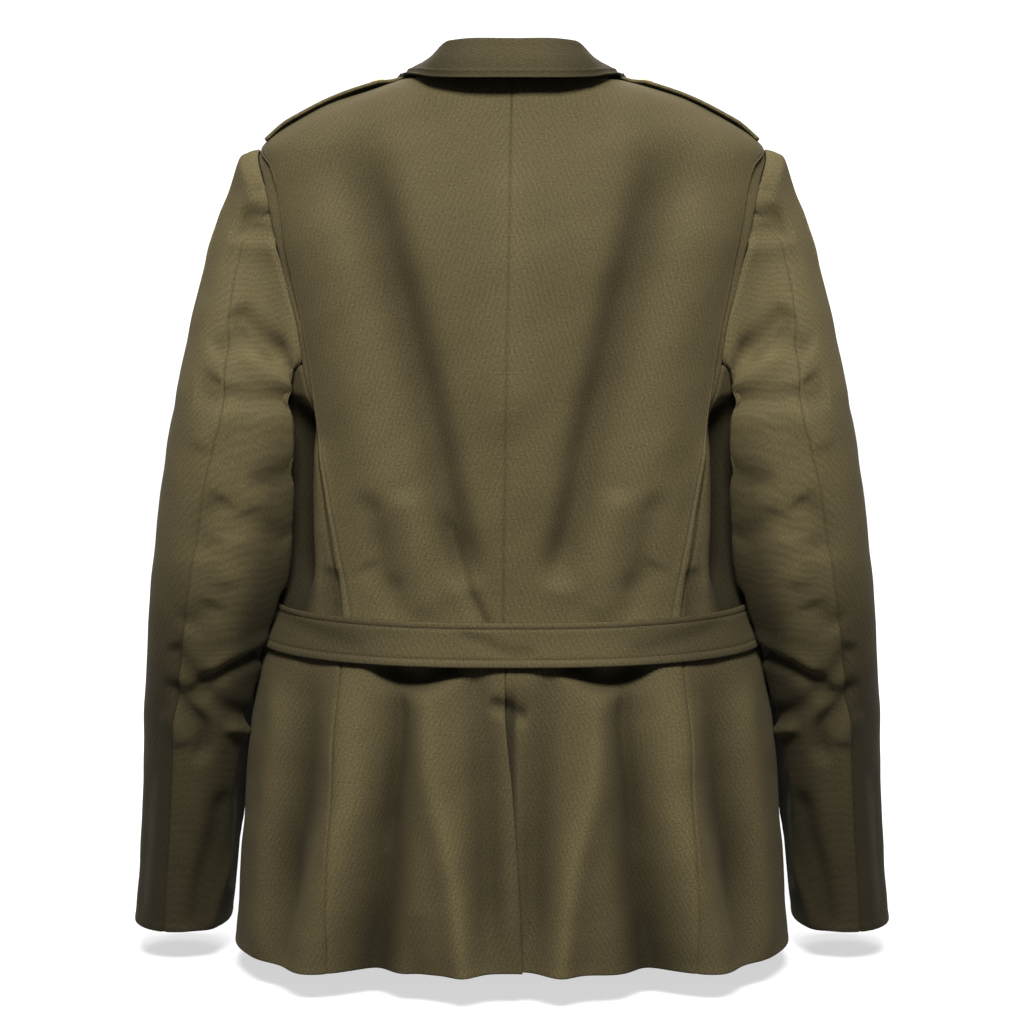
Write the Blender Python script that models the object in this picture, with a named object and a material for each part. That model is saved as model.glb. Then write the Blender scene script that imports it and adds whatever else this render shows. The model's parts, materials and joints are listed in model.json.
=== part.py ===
"""Belted service tunic, worn form with no wearer inside.

Metres, +Z up. The origin is the middle of the neck base, level with the top of the shoulder seams, where the
wearer's shoulders and neck carry the garment. The back of the tunic faces -Y and the wearer's right is +X.
Each piece that is cut and sewn is a closed solid of cloth, one wall thick, named after its pattern piece.
"""
import math

import bpy
import numpy as np

MM = 0.001
WALL = 2.0 * MM          # gabardine with its interlining
SEAM_GAP = 0.3 * MM      # between the edges of two pieces that are sewn together
LAYER = 3.2 * MM         # from the face of one layer to the face of the next one below it
BUTTON_RADIUS = 12.0 * MM
STRAP_BUTTON_RADIUS = 7.5 * MM

HEM = -0.731
HEM_DROP = 0.008         # the sides hang this much below the centre back
WAIST = -0.460
BELT_HEIGHTS = (-0.480, -0.443)
BELT_LIFT = 0.006        # the belt's ends are this much higher than its middle
FRONT_LAP = 0.020        # how far each front passes the centre
PLEAT_HIDDEN = 0.016     # how far the pleat reaches in under the back

# Level sections of the body.
BODY = (
    # height, half width, depth behind, depth before, squareness
    (-0.745, 0.2410, 0.142, 0.136, 2.40),
    (-0.640, 0.2335, 0.139, 0.133, 2.40),
    (-0.560, 0.2265, 0.133, 0.128, 2.40),
    (-0.510, 0.2190, 0.125, 0.123, 2.40),
    (-0.480, 0.2130, 0.119, 0.119, 2.40),
    (-0.443, 0.2020, 0.112, 0.114, 2.40),
    (-0.400, 0.1970, 0.117, 0.115, 2.40),
    (-0.320, 0.1960, 0.126, 0.121, 2.40),
    (-0.240, 0.2000, 0.130, 0.122, 2.40),
    (-0.160, 0.2070, 0.124, 0.112, 2.40),
    (-0.105, 0.2130, 0.109, 0.094, 2.30),
    (-0.060, 0.2125, 0.088, 0.072, 2.20),
    (-0.050, 0.2040, 0.0825, 0.0670, 2.15),
    (-0.033, 0.1760, 0.0735, 0.0600, 2.10),
    (-0.016, 0.1410, 0.0660, 0.0545, 2.05),
    (0.000, 0.0850, 0.0580, 0.0500, 2.00),
)

# Seams and edges on the body: angle 0 is the centre back, 90 the side, 180 the centre front.
PLEAT_FOLD = (
    # height, angle
    (-0.460, 56.5), (-0.439, 57.5), (-0.370, 59.2), (-0.296, 61.2), (-0.214, 63.4), (-0.174, 66.6),
    (-0.121, 71.3), (-0.075, 79.0), (-0.0555, 91.0),
)
SIDE_BACK = ((-0.745, 51.5), (-0.640, 51.7), (-0.487, 55.0), (-0.439, 58.2), (-0.404, 59.9), (-0.362, 61.0),
             (-0.308, 62.0), (-0.235, 65.5))
ARMHOLE_BACK = ((-0.235, 65.5), (-0.211, 66.0), (-0.166, 71.3), (-0.114, 76.7), (-0.080, 83.0),
                (-0.058, 91.0))
ARMHOLE_FRONT = (
    # share of the way from the underarm to the shoulder, height, angle
    (0.00, -0.248, 97.0), (0.22, -0.218, 108.0), (0.48, -0.165, 113.0), (0.76, -0.105, 106.0),
    (1.00, -0.058, 91.0),
)
ARMHOLE_UNDER = ((0.0, -0.235, 65.5), (0.5, -0.252, 81.0), (1.0, -0.248, 97.0))
SIDE_FRONT = 97.0
VENT_EDGE = ((-0.745, 0.0092), (-0.668, 0.0065), (-0.586, 0.0008), (-0.509, -0.0057), (-0.460, -0.0057))
CENTRE_SEAM = ((-0.460, -0.0075), (-0.263, -0.0050), (-0.106, -0.0020), (0.000, 0.0))
ROLL = (
    # share of the way up from the top button, height, angle past the side
    (0.00, -0.235, 180.0), (0.30, -0.170, 166.5), (0.55, -0.110, 150.0), (0.78, -0.055, 131.0),
    (1.00, -0.001, 95.0),
)

# Soft shapes of the worn cloth: a ridge rises, a trough sinks.
FOLDS = (
    # name, face, side, rise, half width, (out from centre, height) along it
    ("upper_trough", "back", 0, -4.5, 15, ((0.126, -0.060), (0.102, -0.125), (0.078, -0.220), (0.054, -0.317),
                                          (0.026, -0.416), (0.018, -0.450))),
    ("blade_swell", "back", 0, 3.0, 30, ((0.150, -0.110), (0.130, -0.200), (0.112, -0.300), (0.100, -0.400))),
    ("waist_trough", "back", 0, -3.0, 12, ((0.118, -0.300), (0.110, -0.370), (0.104, -0.445))),
    ("side_ridge", "back", 0, 4.0, 9, ((0.160, -0.290), (0.163, -0.360), (0.164, -0.445))),
    ("side_trough", "back", 0, -4.0, 9, ((0.180, -0.290), (0.182, -0.360), (0.180, -0.445))),
    ("flute_1", "back", 0, 5.0, 14, ((0.068, -0.485), (0.071, -0.540), (0.063, -0.586), (0.051, -0.636),
                                     (0.043, -0.745))),
    ("flute_2", "back", 0, 5.5, 15, ((0.128, -0.485), (0.133, -0.541), (0.133, -0.590), (0.146, -0.641),
                                     (0.163, -0.745))),
    ("flute_3", "back", 0, 4.5, 12, ((0.196, -0.490), (0.199, -0.550), (0.206, -0.610), (0.212, -0.745))),
    ("hollow_1", "back", 0, -4.5, 13, ((0.098, -0.485), (0.092, -0.539), (0.100, -0.588), (0.104, -0.638),
                                       (0.113, -0.745))),
    ("hollow_2", "back", 0, -4.5, 12, ((0.165, -0.490), (0.172, -0.545), (0.176, -0.595), (0.185, -0.646),
                                       (0.190, -0.745))),
    ("hollow_3", "back", 0, -3.0, 12, ((0.030, -0.500), (0.024, -0.537), (0.022, -0.586), (0.020, -0.660))),
    ("front_ridge", "front", 0, 4.0, 18, ((0.100, -0.300), (0.090, -0.400), (0.095, -0.470))),
    ("front_trough", "front", 0, -3.5, 16, ((0.060, -0.300), (0.055, -0.400), (0.060, -0.480),
                                            (0.075, -0.740))),
    ("front_side_trough", "front", 0, -3.5, 14, ((0.150, -0.280), (0.145, -0.380), (0.140, -0.450))),
)

SLEEVE = (
    # height, outer, inner, behind, before, squareness
    (-0.745, 0.3340, 0.2500, -0.022, 0.082, 2.2),
    (-0.665, 0.3275, 0.2400, -0.030, 0.085, 2.2),
    (-0.576, 0.3215, 0.2250, -0.045, 0.082, 2.2),
    (-0.487, 0.3145, 0.2000, -0.068, 0.075, 2.2),
    (-0.400, 0.3055, 0.1720, -0.088, 0.070, 2.2),
    (-0.314, 0.2935, 0.1620, -0.093, 0.070, 2.2),
    (-0.285, 0.2878, 0.1620, -0.093, 0.070, 2.2),
)
CAP_FOOT = -0.285        # height of the first full section of the sleeve
HEAD = (
    # height, how far out the sleeve's outermost line lies over the shoulder and down the upper arm
    (-0.285, 0.2878), (-0.249, 0.2812), (-0.215, 0.2732), (-0.182, 0.2658), (-0.148, 0.2582),
    (-0.114, 0.2488), (-0.097, 0.2420), (-0.081, 0.2362), (-0.070, 0.2325), (-0.064, 0.2295),
    (-0.060, 0.2210), (-0.058, 0.2130),
)
CUFF = -0.732
CAP_ROWS = (0.0, 0.035, 0.10, 0.24, 0.46, 0.73)     # shares down the sleeve head
HINDARM = ((-0.745, 77.0), (-0.640, 77.0), (-0.540, 73.5), (-0.470, 71.5), (-0.400, 70.5),
           (-0.350, 72.0), (-0.285, 80.0))
FOREARM = ((-0.745, 238.0), (-0.285, 248.0))
HINDARM_AT = 3           # samples round the armhole from the shoulder seam
FOREARM_AT = 14

SLEEVE_FOLDS = (
    # name, rise, half width, (angle round the sleeve, height) along it
    ("elbow_under", -5.0, 10, ((120, -0.330), (85, -0.360), (50, -0.395))),
    ("elbow_over", -4.0, 9, ((115, -0.365), (80, -0.385), (40, -0.380))),
    ("forearm_upper", -4.0, 10, ((110, -0.520), (70, -0.545), (20, -0.560))),
    ("forearm_mid", -4.5, 10, ((105, -0.560), (60, -0.545), (10, -0.530))),
    ("inner_elbow", -4.0, 12, ((200, -0.400), (240, -0.420), (280, -0.440))),
    ("front_lower", -3.0, 12, ((230, -0.520), (270, -0.540), (320, -0.530))),
)

COLLAR = (
    # share from centre back to the front end, then out, back and up of: fold, outer edge
    (0.00, 0.000, -0.0585, 0.0268, 0.000, -0.0800, -0.0035),
    (0.22, 0.028, -0.0560, 0.0272, 0.033, -0.0780, -0.0035),
    (0.42, 0.050, -0.0440, 0.0258, 0.063, -0.0645, -0.0025),
    (0.58, 0.0635, -0.0220, 0.0155, 0.0785, -0.0400, 0.0004),
    (0.72, 0.0715, 0.0080, 0.0090, 0.0890, 0.0030, 0.0020),
    (0.86, 0.0735, 0.0380, -0.0110, 0.1000, 0.0400, -0.0140),
    (1.00, 0.0710, 0.0640, -0.0400, 0.1110, 0.0720, -0.0460),
)
STRAP = (
    # out from centre, half width
    (0.0900, 0.0050), (0.097, 0.0170), (0.150, 0.0185), (0.2050, 0.0190),
)
STRAP_FORWARD = 0.006    # the strap's middle line lies this much before the shoulder's top
STRAP_SEAT = (0.113, 0.008)
BUTTON_HEIGHTS = (-0.258, -0.338, -0.418, -0.498)
LAPEL = (
    # share up the roll line, how far the lapel reaches out round the chest, how far its edge drops
    (0.00, 1.0, 0.000), (0.25, 7.0, 0.002), (0.50, 12.0, 0.014), (0.80, 13.5, 0.036),
)


# ---------------------------------------------------------------- curves and the body's surface
def smooth(knots, values, at):
    """Curve through a table's rows that never runs past them."""
    k = np.asarray(knots, float)
    v = np.asarray(values, float)
    at = np.asarray(at, float)
    if v.ndim == 2:
        return np.stack([smooth(k, v[:, i], at) for i in range(v.shape[1])], -1)
    step = np.diff(k)
    rise = np.diff(v) / step
    both = rise[:-1] * rise[1:]
    inner = np.where(both > 0, 2 * both / np.where(both > 0, rise[:-1] + rise[1:], 1.0), 0.0)
    slope = np.concatenate([rise[:1], inner, rise[-1:]])
    at = np.clip(at, k[0], k[-1])
    i = np.clip(np.searchsorted(k, at, side="right") - 1, 0, len(k) - 2)
    d = step[i]
    u = (at - k[i]) / d
    return (v[i] * (1 + 2 * u) * (1 - u) ** 2 + slope[i] * d * u * (1 - u) ** 2
            + v[i + 1] * u * u * (3 - 2 * u) + slope[i + 1] * d * u * u * (u - 1))


def column(table, at, number=1):
    rows = np.array(table, float)
    return smooth(rows[:, 0], rows[:, number], at)


def step(low, high, at):
    """Soft step from 0 at low to 1 at high."""
    u = np.clip((np.asarray(at, float) - low) / (high - low), 0.0, 1.0)
    return u * u * (3 - 2 * u)


def section(angle, height):
    """Point on the plain body: a rounded section at each height, by its angle from the centre back."""
    angle, height = np.broadcast_arrays(np.asarray(angle, float), np.asarray(height, float))
    turn = np.radians(angle)
    wide = column(BODY, height, 1)
    deep = np.where(np.cos(turn) > 0, column(BODY, height, 2), column(BODY, height, 3))
    power = column(BODY, height, 4)
    reach = (np.abs(np.sin(turn) / wide) ** power + np.abs(np.cos(turn) / deep) ** power) ** (-1 / power)
    return np.stack([reach * np.sin(turn), -reach * np.cos(turn), height], -1)


def unit(v):
    return v / np.maximum(np.linalg.norm(v, axis=-1, keepdims=True), 1e-12)


def outward(angle, height):
    """Direction out of the plain body."""
    across = section(angle + 0.05, height) - section(angle - 0.05, height)
    rise = section(angle, height + 1e-4) - section(angle, height - 1e-4)
    return unit(np.cross(across, rise))


def angle_at(out, height, face="back"):
    """Angle whose point lies the given distance out from the centre, on one face."""
    wide = column(BODY, height, 1)
    deep = column(BODY, height, 2 if face == "back" else 3)
    power = column(BODY, height, 4)
    share = np.clip(np.abs(out) / wide, 0, 0.995)
    turn = np.degrees(np.arctan2(np.abs(out), deep * (1 - share ** power) ** (1 / power)))
    turn = turn if face == "back" else 180 - turn
    return np.where(np.asarray(out) < 0, -turn, turn)


def along_path(across, up, path, rise, half_width):
    """Soft ridge or trough along a path, fading at both ends."""
    path = smooth(np.linspace(0, 1, len(path)), np.array(path), np.linspace(0, 1, 25))
    a, b = path[:-1], path[1:]
    p = np.stack([across, up], -1)[..., None, :]
    t = np.clip(((p - a) * (b - a)).sum(-1) / np.maximum(((b - a) ** 2).sum(-1), 1e-12), 0, 1)
    gap = np.linalg.norm(p - a - t[..., None] * (b - a), axis=-1)
    near = gap.argmin(-1)
    where = (near + np.take_along_axis(t, near[..., None], -1)[..., 0]) / len(a)
    fade = step(0, 0.18, where) * step(0, 0.18, 1 - where)
    return rise * MM * fade * np.exp(-(gap.min(-1) / (half_width * MM)) ** 2)


def folds(angle, height):
    """Rise of the worn cloth over the plain body. A row with side 0 lies on both sides."""
    total = np.zeros(np.broadcast(angle, height).shape)
    spread = 0.15
    for name, face, side, rise, half_width, path in FOLDS:
        rows = np.array(path)
        turn = np.radians(angle_at(rows[:, 0], rows[:, 1], face)) * spread
        for sign in ((-1, 1) if side == 0 else (side,)):
            total += along_path(np.radians(sign * angle) * spread, height, np.stack([turn, rows[:, 1]], -1),
                                rise, half_width)
    return total


def side_back_angle(height):
    return column(SIDE_BACK, height)


def seam_sink(angle, height):
    """The side back seam lies one layer down beside the pleat, and is level at the underarm and belt."""
    depth = step(-0.240, -0.285, height) * (1 - step(-0.452, -0.482, height))
    away = (np.abs(angle) - side_back_angle(height)) / 6.0
    return -LAYER * depth * np.exp(-away ** 2)


def cloth(grid, lift=0.0):
    """Both faces of a piece over a grid of (angle, height)."""
    angle, height = grid[..., 0], grid[..., 1]
    out = outward(angle, height)
    face = section(angle, height) + out * (folds(angle, height) + lift)[..., None]
    return face, face - out * WALL


# ---------------------------------------------------------------- pieces
def finish(color, metallic, roughness):
    material = bpy.data.materials.new(color[0])
    material.use_nodes = True
    shader = material.node_tree.nodes["Principled BSDF"]
    shader.inputs["Base Color"].default_value = (*color[1], 1.0)
    shader.inputs["Metallic"].default_value = metallic
    shader.inputs["Roughness"].default_value = roughness
    return material


def build(name, points, triangles, metal=False):
    """Object of one closed solid with its faces outward."""
    points = np.asarray(points, float)
    triangles = np.asarray(triangles, int)
    a, b, c = (points[triangles[:, i]] for i in range(3))
    if (a * np.cross(b, c)).sum() < 0:
        triangles = triangles[:, ::-1]
    mesh = bpy.data.meshes.new(name)
    mesh.from_pydata(points.tolist(), [], triangles.tolist())
    mesh.update()
    for polygon in mesh.polygons:
        polygon.use_smooth = True
    if metal:
        mesh.materials.append(finish(("brass_" + name, (0.56, 0.42, 0.16)), 0.9, 0.35))
    else:
        mesh.materials.append(finish(("gabardine_" + name, (0.125, 0.100, 0.052)), 0.0, 0.85))
    obj = bpy.data.objects.new(name, mesh)
    bpy.context.scene.collection.objects.link(obj)
    return obj


def trim(face, back):
    """Edges drawn in by half a seam gap, square to the edge, so neighbours keep one gap."""
    face, back = face.copy(), back.copy()
    for axis in (0, 1):
        for end, inner in ((0, 1), (-1, -2)):
            f = np.moveaxis(face, axis, 0)
            b = np.moveaxis(back, axis, 0)
            edge = unit(np.gradient(f[end], axis=0))
            into = f[inner] - f[end]
            into = unit(into - (into * edge).sum(-1, keepdims=True) * edge) * SEAM_GAP / 2
            f[end] += into
            b[end] += into
    return face, back


def shell(name, face, back):
    """Closed solid between two matching grids of points."""
    face, back = trim(face, back)
    rows, cols = face.shape[:2]
    index = np.arange(rows * cols).reshape(rows, cols)
    a, b, c, d = index[:-1, :-1], index[:-1, 1:], index[1:, 1:], index[1:, :-1]
    front = np.concatenate([np.stack([a, b, c], -1).reshape(-1, 3), np.stack([a, c, d], -1).reshape(-1, 3)])
    rear = front[:, ::-1] + rows * cols
    rim = np.concatenate([index[0, :], index[1:, -1], index[-1, -2::-1], index[-2:0:-1, 0]])
    nxt = np.roll(rim, -1)
    low, low_next = rim + rows * cols, nxt + rows * cols
    wall = np.concatenate([np.stack([rim, low, low_next], -1), np.stack([rim, low_next, nxt], -1)])
    points = np.concatenate([face.reshape(-1, 3), back.reshape(-1, 3)])
    return build(name, points, np.concatenate([front, rear, wall]))


def coons(left, right, bottom, top):
    """Grid that blends four edges; rows run bottom to top and columns left to right."""
    v = np.linspace(0, 1, len(left))[:, None, None]
    u = np.linspace(0, 1, len(bottom))[None, :, None]
    return ((1 - u) * left[:, None] + u * right[:, None] + (1 - v) * bottom[None] + v * top[None]
            - (1 - u) * (1 - v) * left[0] - u * (1 - v) * right[0]
            - (1 - u) * v * left[-1] - u * v * right[-1])


def pair(angle, height):
    angle, height = np.broadcast_arrays(np.asarray(angle, float), np.asarray(height, float))
    return np.stack([angle, height], -1)


def hem_height(angle):
    return HEM - HEM_DROP * np.sin(np.radians(angle)) ** 2


SKIRT_LEVELS = np.array((0.0, 0.17, 0.34, 0.50, 0.65, 0.78, 0.88, 1.0))   # hem to waist
CHEST_ROWS = 6
BACK_ROWS = 7
UNDER_ROWS = 4
FRONT_ROWS = 9


def skirt_rows(angle_of):
    """Samples of a lengthwise edge from hem to waist."""
    height = HEM + (WAIST - HEM) * SKIRT_LEVELS
    for _ in range(3):
        height = hem_height(angle_of(height)) * (1 - SKIRT_LEVELS) + WAIST * SKIRT_LEVELS
    return pair(angle_of(height), height)


def armhole():
    """Samples round the armhole: shoulder, down the back, underarm, up the front."""
    back = np.linspace(0, 1, BACK_ROWS + 1)
    back_height = -0.058 + (-0.235 + 0.058) * back ** 1.45
    behind = pair(column(ARMHOLE_BACK, back_height), back_height)
    under = np.linspace(0, 1, UNDER_ROWS + 1)
    below = pair(column(ARMHOLE_UNDER, under, 2), column(ARMHOLE_UNDER, under, 1))
    front = np.linspace(0, 1, FRONT_ROWS + 1)
    before = pair(column(ARMHOLE_FRONT, front, 2), column(ARMHOLE_FRONT, front, 1))
    return behind, below, before


def chest_rows(angle_of, top):
    height = np.linspace(WAIST, top, CHEST_ROWS + 1)
    return pair(angle_of(height), height)


def pleat_fold_angle(height):
    fold = column(PLEAT_FOLD, height)
    return np.where(height < -0.235, np.minimum(fold, side_back_angle(height) - 0.45), fold)


def mirrored(points, side):
    return points * np.array((side, 1, 1))


def add_pair(name, grid, lift_right, lift_left=None):
    """The same pattern piece for the wearer's right and, mirrored, the left."""
    lift_left = lift_right if lift_left is None else lift_left
    for side, word, lift in ((1, "right", lift_right), (-1, "left", lift_left)):
        face, back = cloth(grid, lift)
        shell(f"{name}_{word}", mirrored(face, side), mirrored(back, side))


def upper_back():
    """The back's halves with their turned-under pleat folds, and the pleats beneath them."""
    behind, _, _ = armhole()
    low = chest_rows(side_back_angle, -0.235)
    seam = np.concatenate([low[:-1], behind[::-1]])           # outer edge of the pleat, waist to shoulder
    height = seam[:, 1].copy()
    height[-1] = -0.0548
    fold = pair(pleat_fold_angle(height), height)
    fold[-1] = (91.0, -0.0548)
    # The fold's hidden side: the stitch line, further in on the back.
    inward = np.degrees(PLEAT_HIDDEN / 0.19)
    stitch = fold - np.array((inward, 0.0))
    stitch[-1] = (91.0, -0.0478)
    stitch[-2] = stitch[-2] * 0.5 + np.array((fold[-2, 0] - inward, fold[-2, 1])) * 0.5
    rows = len(fold)
    for side, word in ((1, "right"), (-1, "left")):
        # Half of the back, from the centre seam out to the stitch line.
        height = np.concatenate([np.linspace(WAIST, -0.235, CHEST_ROWS + 1)[:-1],
                                 -0.001 - 0.234 * np.linspace(1, 0, BACK_ROWS + 1) ** 1.2])
        shift = column(CENTRE_SEAM, height) * side
        centre = pair(np.degrees(np.arctan2(shift, column(BODY, height, 2))), height)
        bottom = pair(np.linspace(centre[0, 0], stitch[0, 0], 8), WAIST)
        neck = pair(np.linspace(centre[-1, 0], 95.0, 6), -0.001)
        shoulder = pair(np.linspace(95.0, 91.0, 3), np.linspace(-0.001, -0.0478, 3))
        top = np.concatenate([neck, shoulder[1:]])
        grid = np.concatenate([coons(centre, stitch, bottom, top), fold[:, None]], 1)
        face, back = cloth(grid, 0.0)
        shell(f"back_{word}", mirrored(face, side), mirrored(back, side))
    # The pleat lies one layer under the back's fold and comes level at its outer seam.
    grid = np.stack([stitch + np.array((0.8, 0.0)), fold, seam], 1)
    lift = np.zeros(grid.shape[:2])
    lift[:, 0] = -LAYER
    lift[:, 1] = -LAYER
    lift[:, 2] = seam_sink(seam[:, 0], seam[:, 1])
    grid[-1, 0] = (91.0, -0.0485)
    add_pair("pleat", grid, lift)


def side_panel():
    _, below, _ = armhole()
    rear = np.concatenate([skirt_rows(side_back_angle), chest_rows(side_back_angle, -0.235)[1:]])
    level = lambda h: 0 * h + SIDE_FRONT
    fore = np.concatenate([skirt_rows(level), chest_rows(level, -0.248)[1:]])
    turn = np.linspace(rear[0, 0], SIDE_FRONT, UNDER_ROWS + 1)
    grid = coons(rear, fore, pair(turn, hem_height(turn)), below)
    add_pair("side", grid, seam_sink(grid[..., 0], grid[..., 1]))


def vent_angle(height, side):
    out = column(VENT_EDGE, height) * side
    return np.degrees(np.arctan2(out, column(BODY, height, 2)))


def skirt():
    outer = skirt_rows(side_back_angle)
    cols = 9
    for side, word in ((1, "right"), (-1, "left")):
        inner = skirt_rows(lambda h: vent_angle(h, side))
        if side == 1:
            # The right skirt passes under the left one below the top of the vent.
            under = step(-0.523, -0.570, inner[:, 1])
            inner[:, 0] -= under * 12.0
        turn = np.linspace(inner[0, 0], outer[0, 0], cols)
        grid = coons(inner, outer, pair(turn, hem_height(turn)),
                     pair(np.linspace(inner[-1, 0], outer[-1, 0], cols), WAIST))
        lift = seam_sink(grid[..., 0], grid[..., 1])
        if side == 1:
            lift = lift - LAYER * step(-0.490, -0.512, grid[..., 1]) * (1 - step(4.0, 12.0, grid[..., 0]))
        face, back = cloth(grid, lift)
        shell(f"skirt_{word}", mirrored(face, side), mirrored(back, side))


FRONT_COLS = 12


def front_grid(side):
    """Front from the side seam and armhole to the front edge and the roll line."""
    _, _, before = armhole()
    flank = lambda h: 0 * h + SIDE_FRONT
    outer = np.concatenate([skirt_rows(flank), chest_rows(flank, -0.248)[1:], before[1:]])
    edge_of = lambda h: 180 + np.degrees(FRONT_LAP / column(BODY, h, 3))
    low = np.concatenate([skirt_rows(edge_of), chest_rows(edge_of, -0.235)[1:]])
    share = np.linspace(0, 1, FRONT_ROWS + 1)
    roll = pair(column(ROLL, share, 2), column(ROLL, share, 1))
    start = low[-1, 0] - 180
    roll[:, 0] += start * (1 - share) ** 2
    inner = np.concatenate([low, roll[1:]])
    cols = FRONT_COLS
    turn = np.linspace(SIDE_FRONT, low[0, 0], cols)
    shoulder = np.linspace(0, 1, cols)
    top = pair(91 + 4 * shoulder, -0.058 + 0.057 * shoulder)
    grid = coons(outer, inner, pair(turn, hem_height(turn)), top)
    lap = step(158, 172, grid[..., 0])
    lift = LAYER * lap if side == -1 else np.zeros(lap.shape)
    return grid, lift


def fronts():
    for side, word in ((1, "right"), (-1, "left")):
        grid, lift = front_grid(side)
        face, back = cloth(grid, lift)
        shell(f"front_{word}", mirrored(face, side), mirrored(back, side))
        # Patch pocket and flap are made from the front's own points, moved out.
        rows, cols = slice(1, 6), slice(1, 8)
        face, back = cloth(grid[rows, cols], lift[rows, cols] + WALL + 0.8 * MM)
        shell(f"pocket_{word}", mirrored(face, side), mirrored(back, side))
        rows = slice(4, 7)
        cols = slice(0, 8)
        raised = lift[rows, cols] + np.array((2, 2, 1))[:, None] * (WALL + 0.8 * MM)
        face, back = cloth(grid[rows, cols], raised)
        shell(f"pocket_flap_{word}", mirrored(face, side), mirrored(back, side))
        # Lapel: folded back on the chest from the roll line.
        first = 0.06 if side == -1 else 0.30
        share = np.linspace(first, 0.80, 7)
        roll = pair(column(ROLL, share, 2), column(ROLL, share, 1))
        start = np.degrees(FRONT_LAP / 0.122)
        roll[:, 0] += start * (1 - share) ** 2
        reach, drop = column(LAPEL, share), column(LAPEL, share, 2)
        if side == 1:
            reach = reach * step(0.10, 0.50, share)
        reach = np.maximum(reach, 1.5)
        across = np.linspace(0, 1, 4)
        lapel = np.stack([roll[:, None, 0] - across * reach[:, None],
                          roll[:, None, 1] - across * drop[:, None]], -1)
        lap = LAYER * step(158, 172, lapel[..., 0]) if side == -1 else 0.0
        face, back = cloth(lapel, lap + WALL + np.array((0.7, 2.0, 2.2, 1.4)) * MM)
        shell(f"lapel_{word}", mirrored(face, side), mirrored(back, side))


def implicit(points):
    """How far points lie outside the plain body, near enough for small gaps."""
    def level(p):
        height = np.clip(p[..., 2], BODY[0][0], 0.0)
        wide = column(BODY, height, 1)
        deep = np.where(p[..., 1] < 0, column(BODY, height, 2), column(BODY, height, 3))
        power = column(BODY, height, 4)
        return (np.abs(p[..., 0] / wide) ** power + np.abs(p[..., 1] / deep) ** power) ** (1 / power) - 1
    e = 2e-4
    value = level(points)
    slope = np.stack([(level(points + e * d) - level(points - e * d)) / (2 * e) for d in np.eye(3)], -1)
    size = np.maximum(np.linalg.norm(slope, axis=-1), 1e-6)
    return value / size, slope / size[..., None]


def pushed_out(points, margin):
    """Points moved out until they clear the body by the margin."""
    for _ in range(4):
        gap, way = implicit(points)
        points = points + way * np.maximum(margin - gap, 0)[..., None]
    return points


def collar():
    """One folded leaf: the stand rises from the neckline, turns over and falls to the outer edge."""
    rows = 21
    share = np.linspace(-1, 1, rows)
    table = np.array(COLLAR)
    half = smooth(table[:, 0], table[:, 1:], np.abs(share))
    sign = np.sign(share)[:, None]
    fold = half[:, :3] * np.concatenate([sign + (sign == 0), np.ones((rows, 2))], 1)
    edge = half[:, 3:] * np.concatenate([sign + (sign == 0), np.ones((rows, 2))], 1)
    edge = pushed_out(edge, 5.5 * MM)
    # The stand's foot lies just above the neckline behind and just inside the roll line before.
    turn = smooth((0.0, 0.72, 1.0), (0.0, 95.0, 133.0), np.abs(share))
    height = smooth((0.0, 0.72, 1.0), (0.0, -0.001, -0.058), np.abs(share))
    foot = section(turn * np.sign(share), height)
    inward = unit(foot * np.array((1, 1, 0)))
    forward = step(0.55, 0.80, np.abs(share))[:, None]
    foot = foot - inward * (2.4 + 0.9 * forward) * MM + np.array((0, 0, 1.3 * MM))
    profile = []
    crown = fold
    for a, b, t in ((foot, crown, 0.0), (foot, crown, 0.5), (foot, crown, 0.86)):
        profile.append(a + (b - a) * t)
    out = unit((edge - crown) * np.array((1, 1, 0)))
    up = np.array((0, 0, 1.0))
    profile.append(crown + up * 1.0 * MM + out * 1.6 * MM)
    for t, bulge in ((0.22, 2.2), (0.60, 2.2), (1.0, 0.0)):
        profile.append(crown + (edge - crown) * t + (out * 0.8 + up * 0.5) * bulge * MM)
    face = np.stack(profile, 1)
    across = np.gradient(face, axis=1)
    around = np.gradient(face, axis=0)
    normal = unit(np.cross(around, across))
    shell("collar", face, face - normal * WALL)


def shoulder_height(x, y):
    """Height of the plain body's top over a place on the shoulder."""
    low, high = np.full(np.shape(x), -0.12), np.zeros(np.shape(x))
    for _ in range(40):
        mid = (low + high) / 2
        wide = column(BODY, mid, 1)
        deep = np.where(y < 0, column(BODY, mid, 2), column(BODY, mid, 3))
        power = column(BODY, mid, 4)
        inside = np.abs(x / wide) ** power + np.abs(y / deep) ** power < 1
        low, high = np.where(inside, mid, low), np.where(inside, high, mid)
    return low


def strap_rise(x):
    """Gap under the strap: sewn down at its outer end, low under the collar, and standing clear between."""
    return MM * (0.7 + 2.3 * step(0.098, 0.112, x) * (1 - step(0.185, 0.205, x)))


def straps():
    out = np.linspace(STRAP[0][0], STRAP[-1][0], 10)
    across = np.linspace(-1, 1, 7)
    x = out[:, None] + 0 * across
    y = column(STRAP, out)[:, None] * across + STRAP_FORWARD
    points = np.stack([x, y, shoulder_height(x, y)], -1)
    _, way = implicit(points)
    face = points + way * (WALL + strap_rise(x))[..., None]
    for side, word in ((1, "right"), (-1, "left")):
        shell(f"strap_{word}", mirrored(face, side), mirrored(face - way * WALL, side))
        seat = np.array(STRAP_SEAT)
        foot = np.array((seat[0], seat[1], shoulder_height(seat[0], seat[1])))
        _, up = implicit(foot[None])
        button(f"strap_button_{word}", mirrored(foot + up[0] * (WALL + strap_rise(seat[0]) + 0.5 * MM), side),
               mirrored(up[0], side), STRAP_BUTTON_RADIUS)


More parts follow.
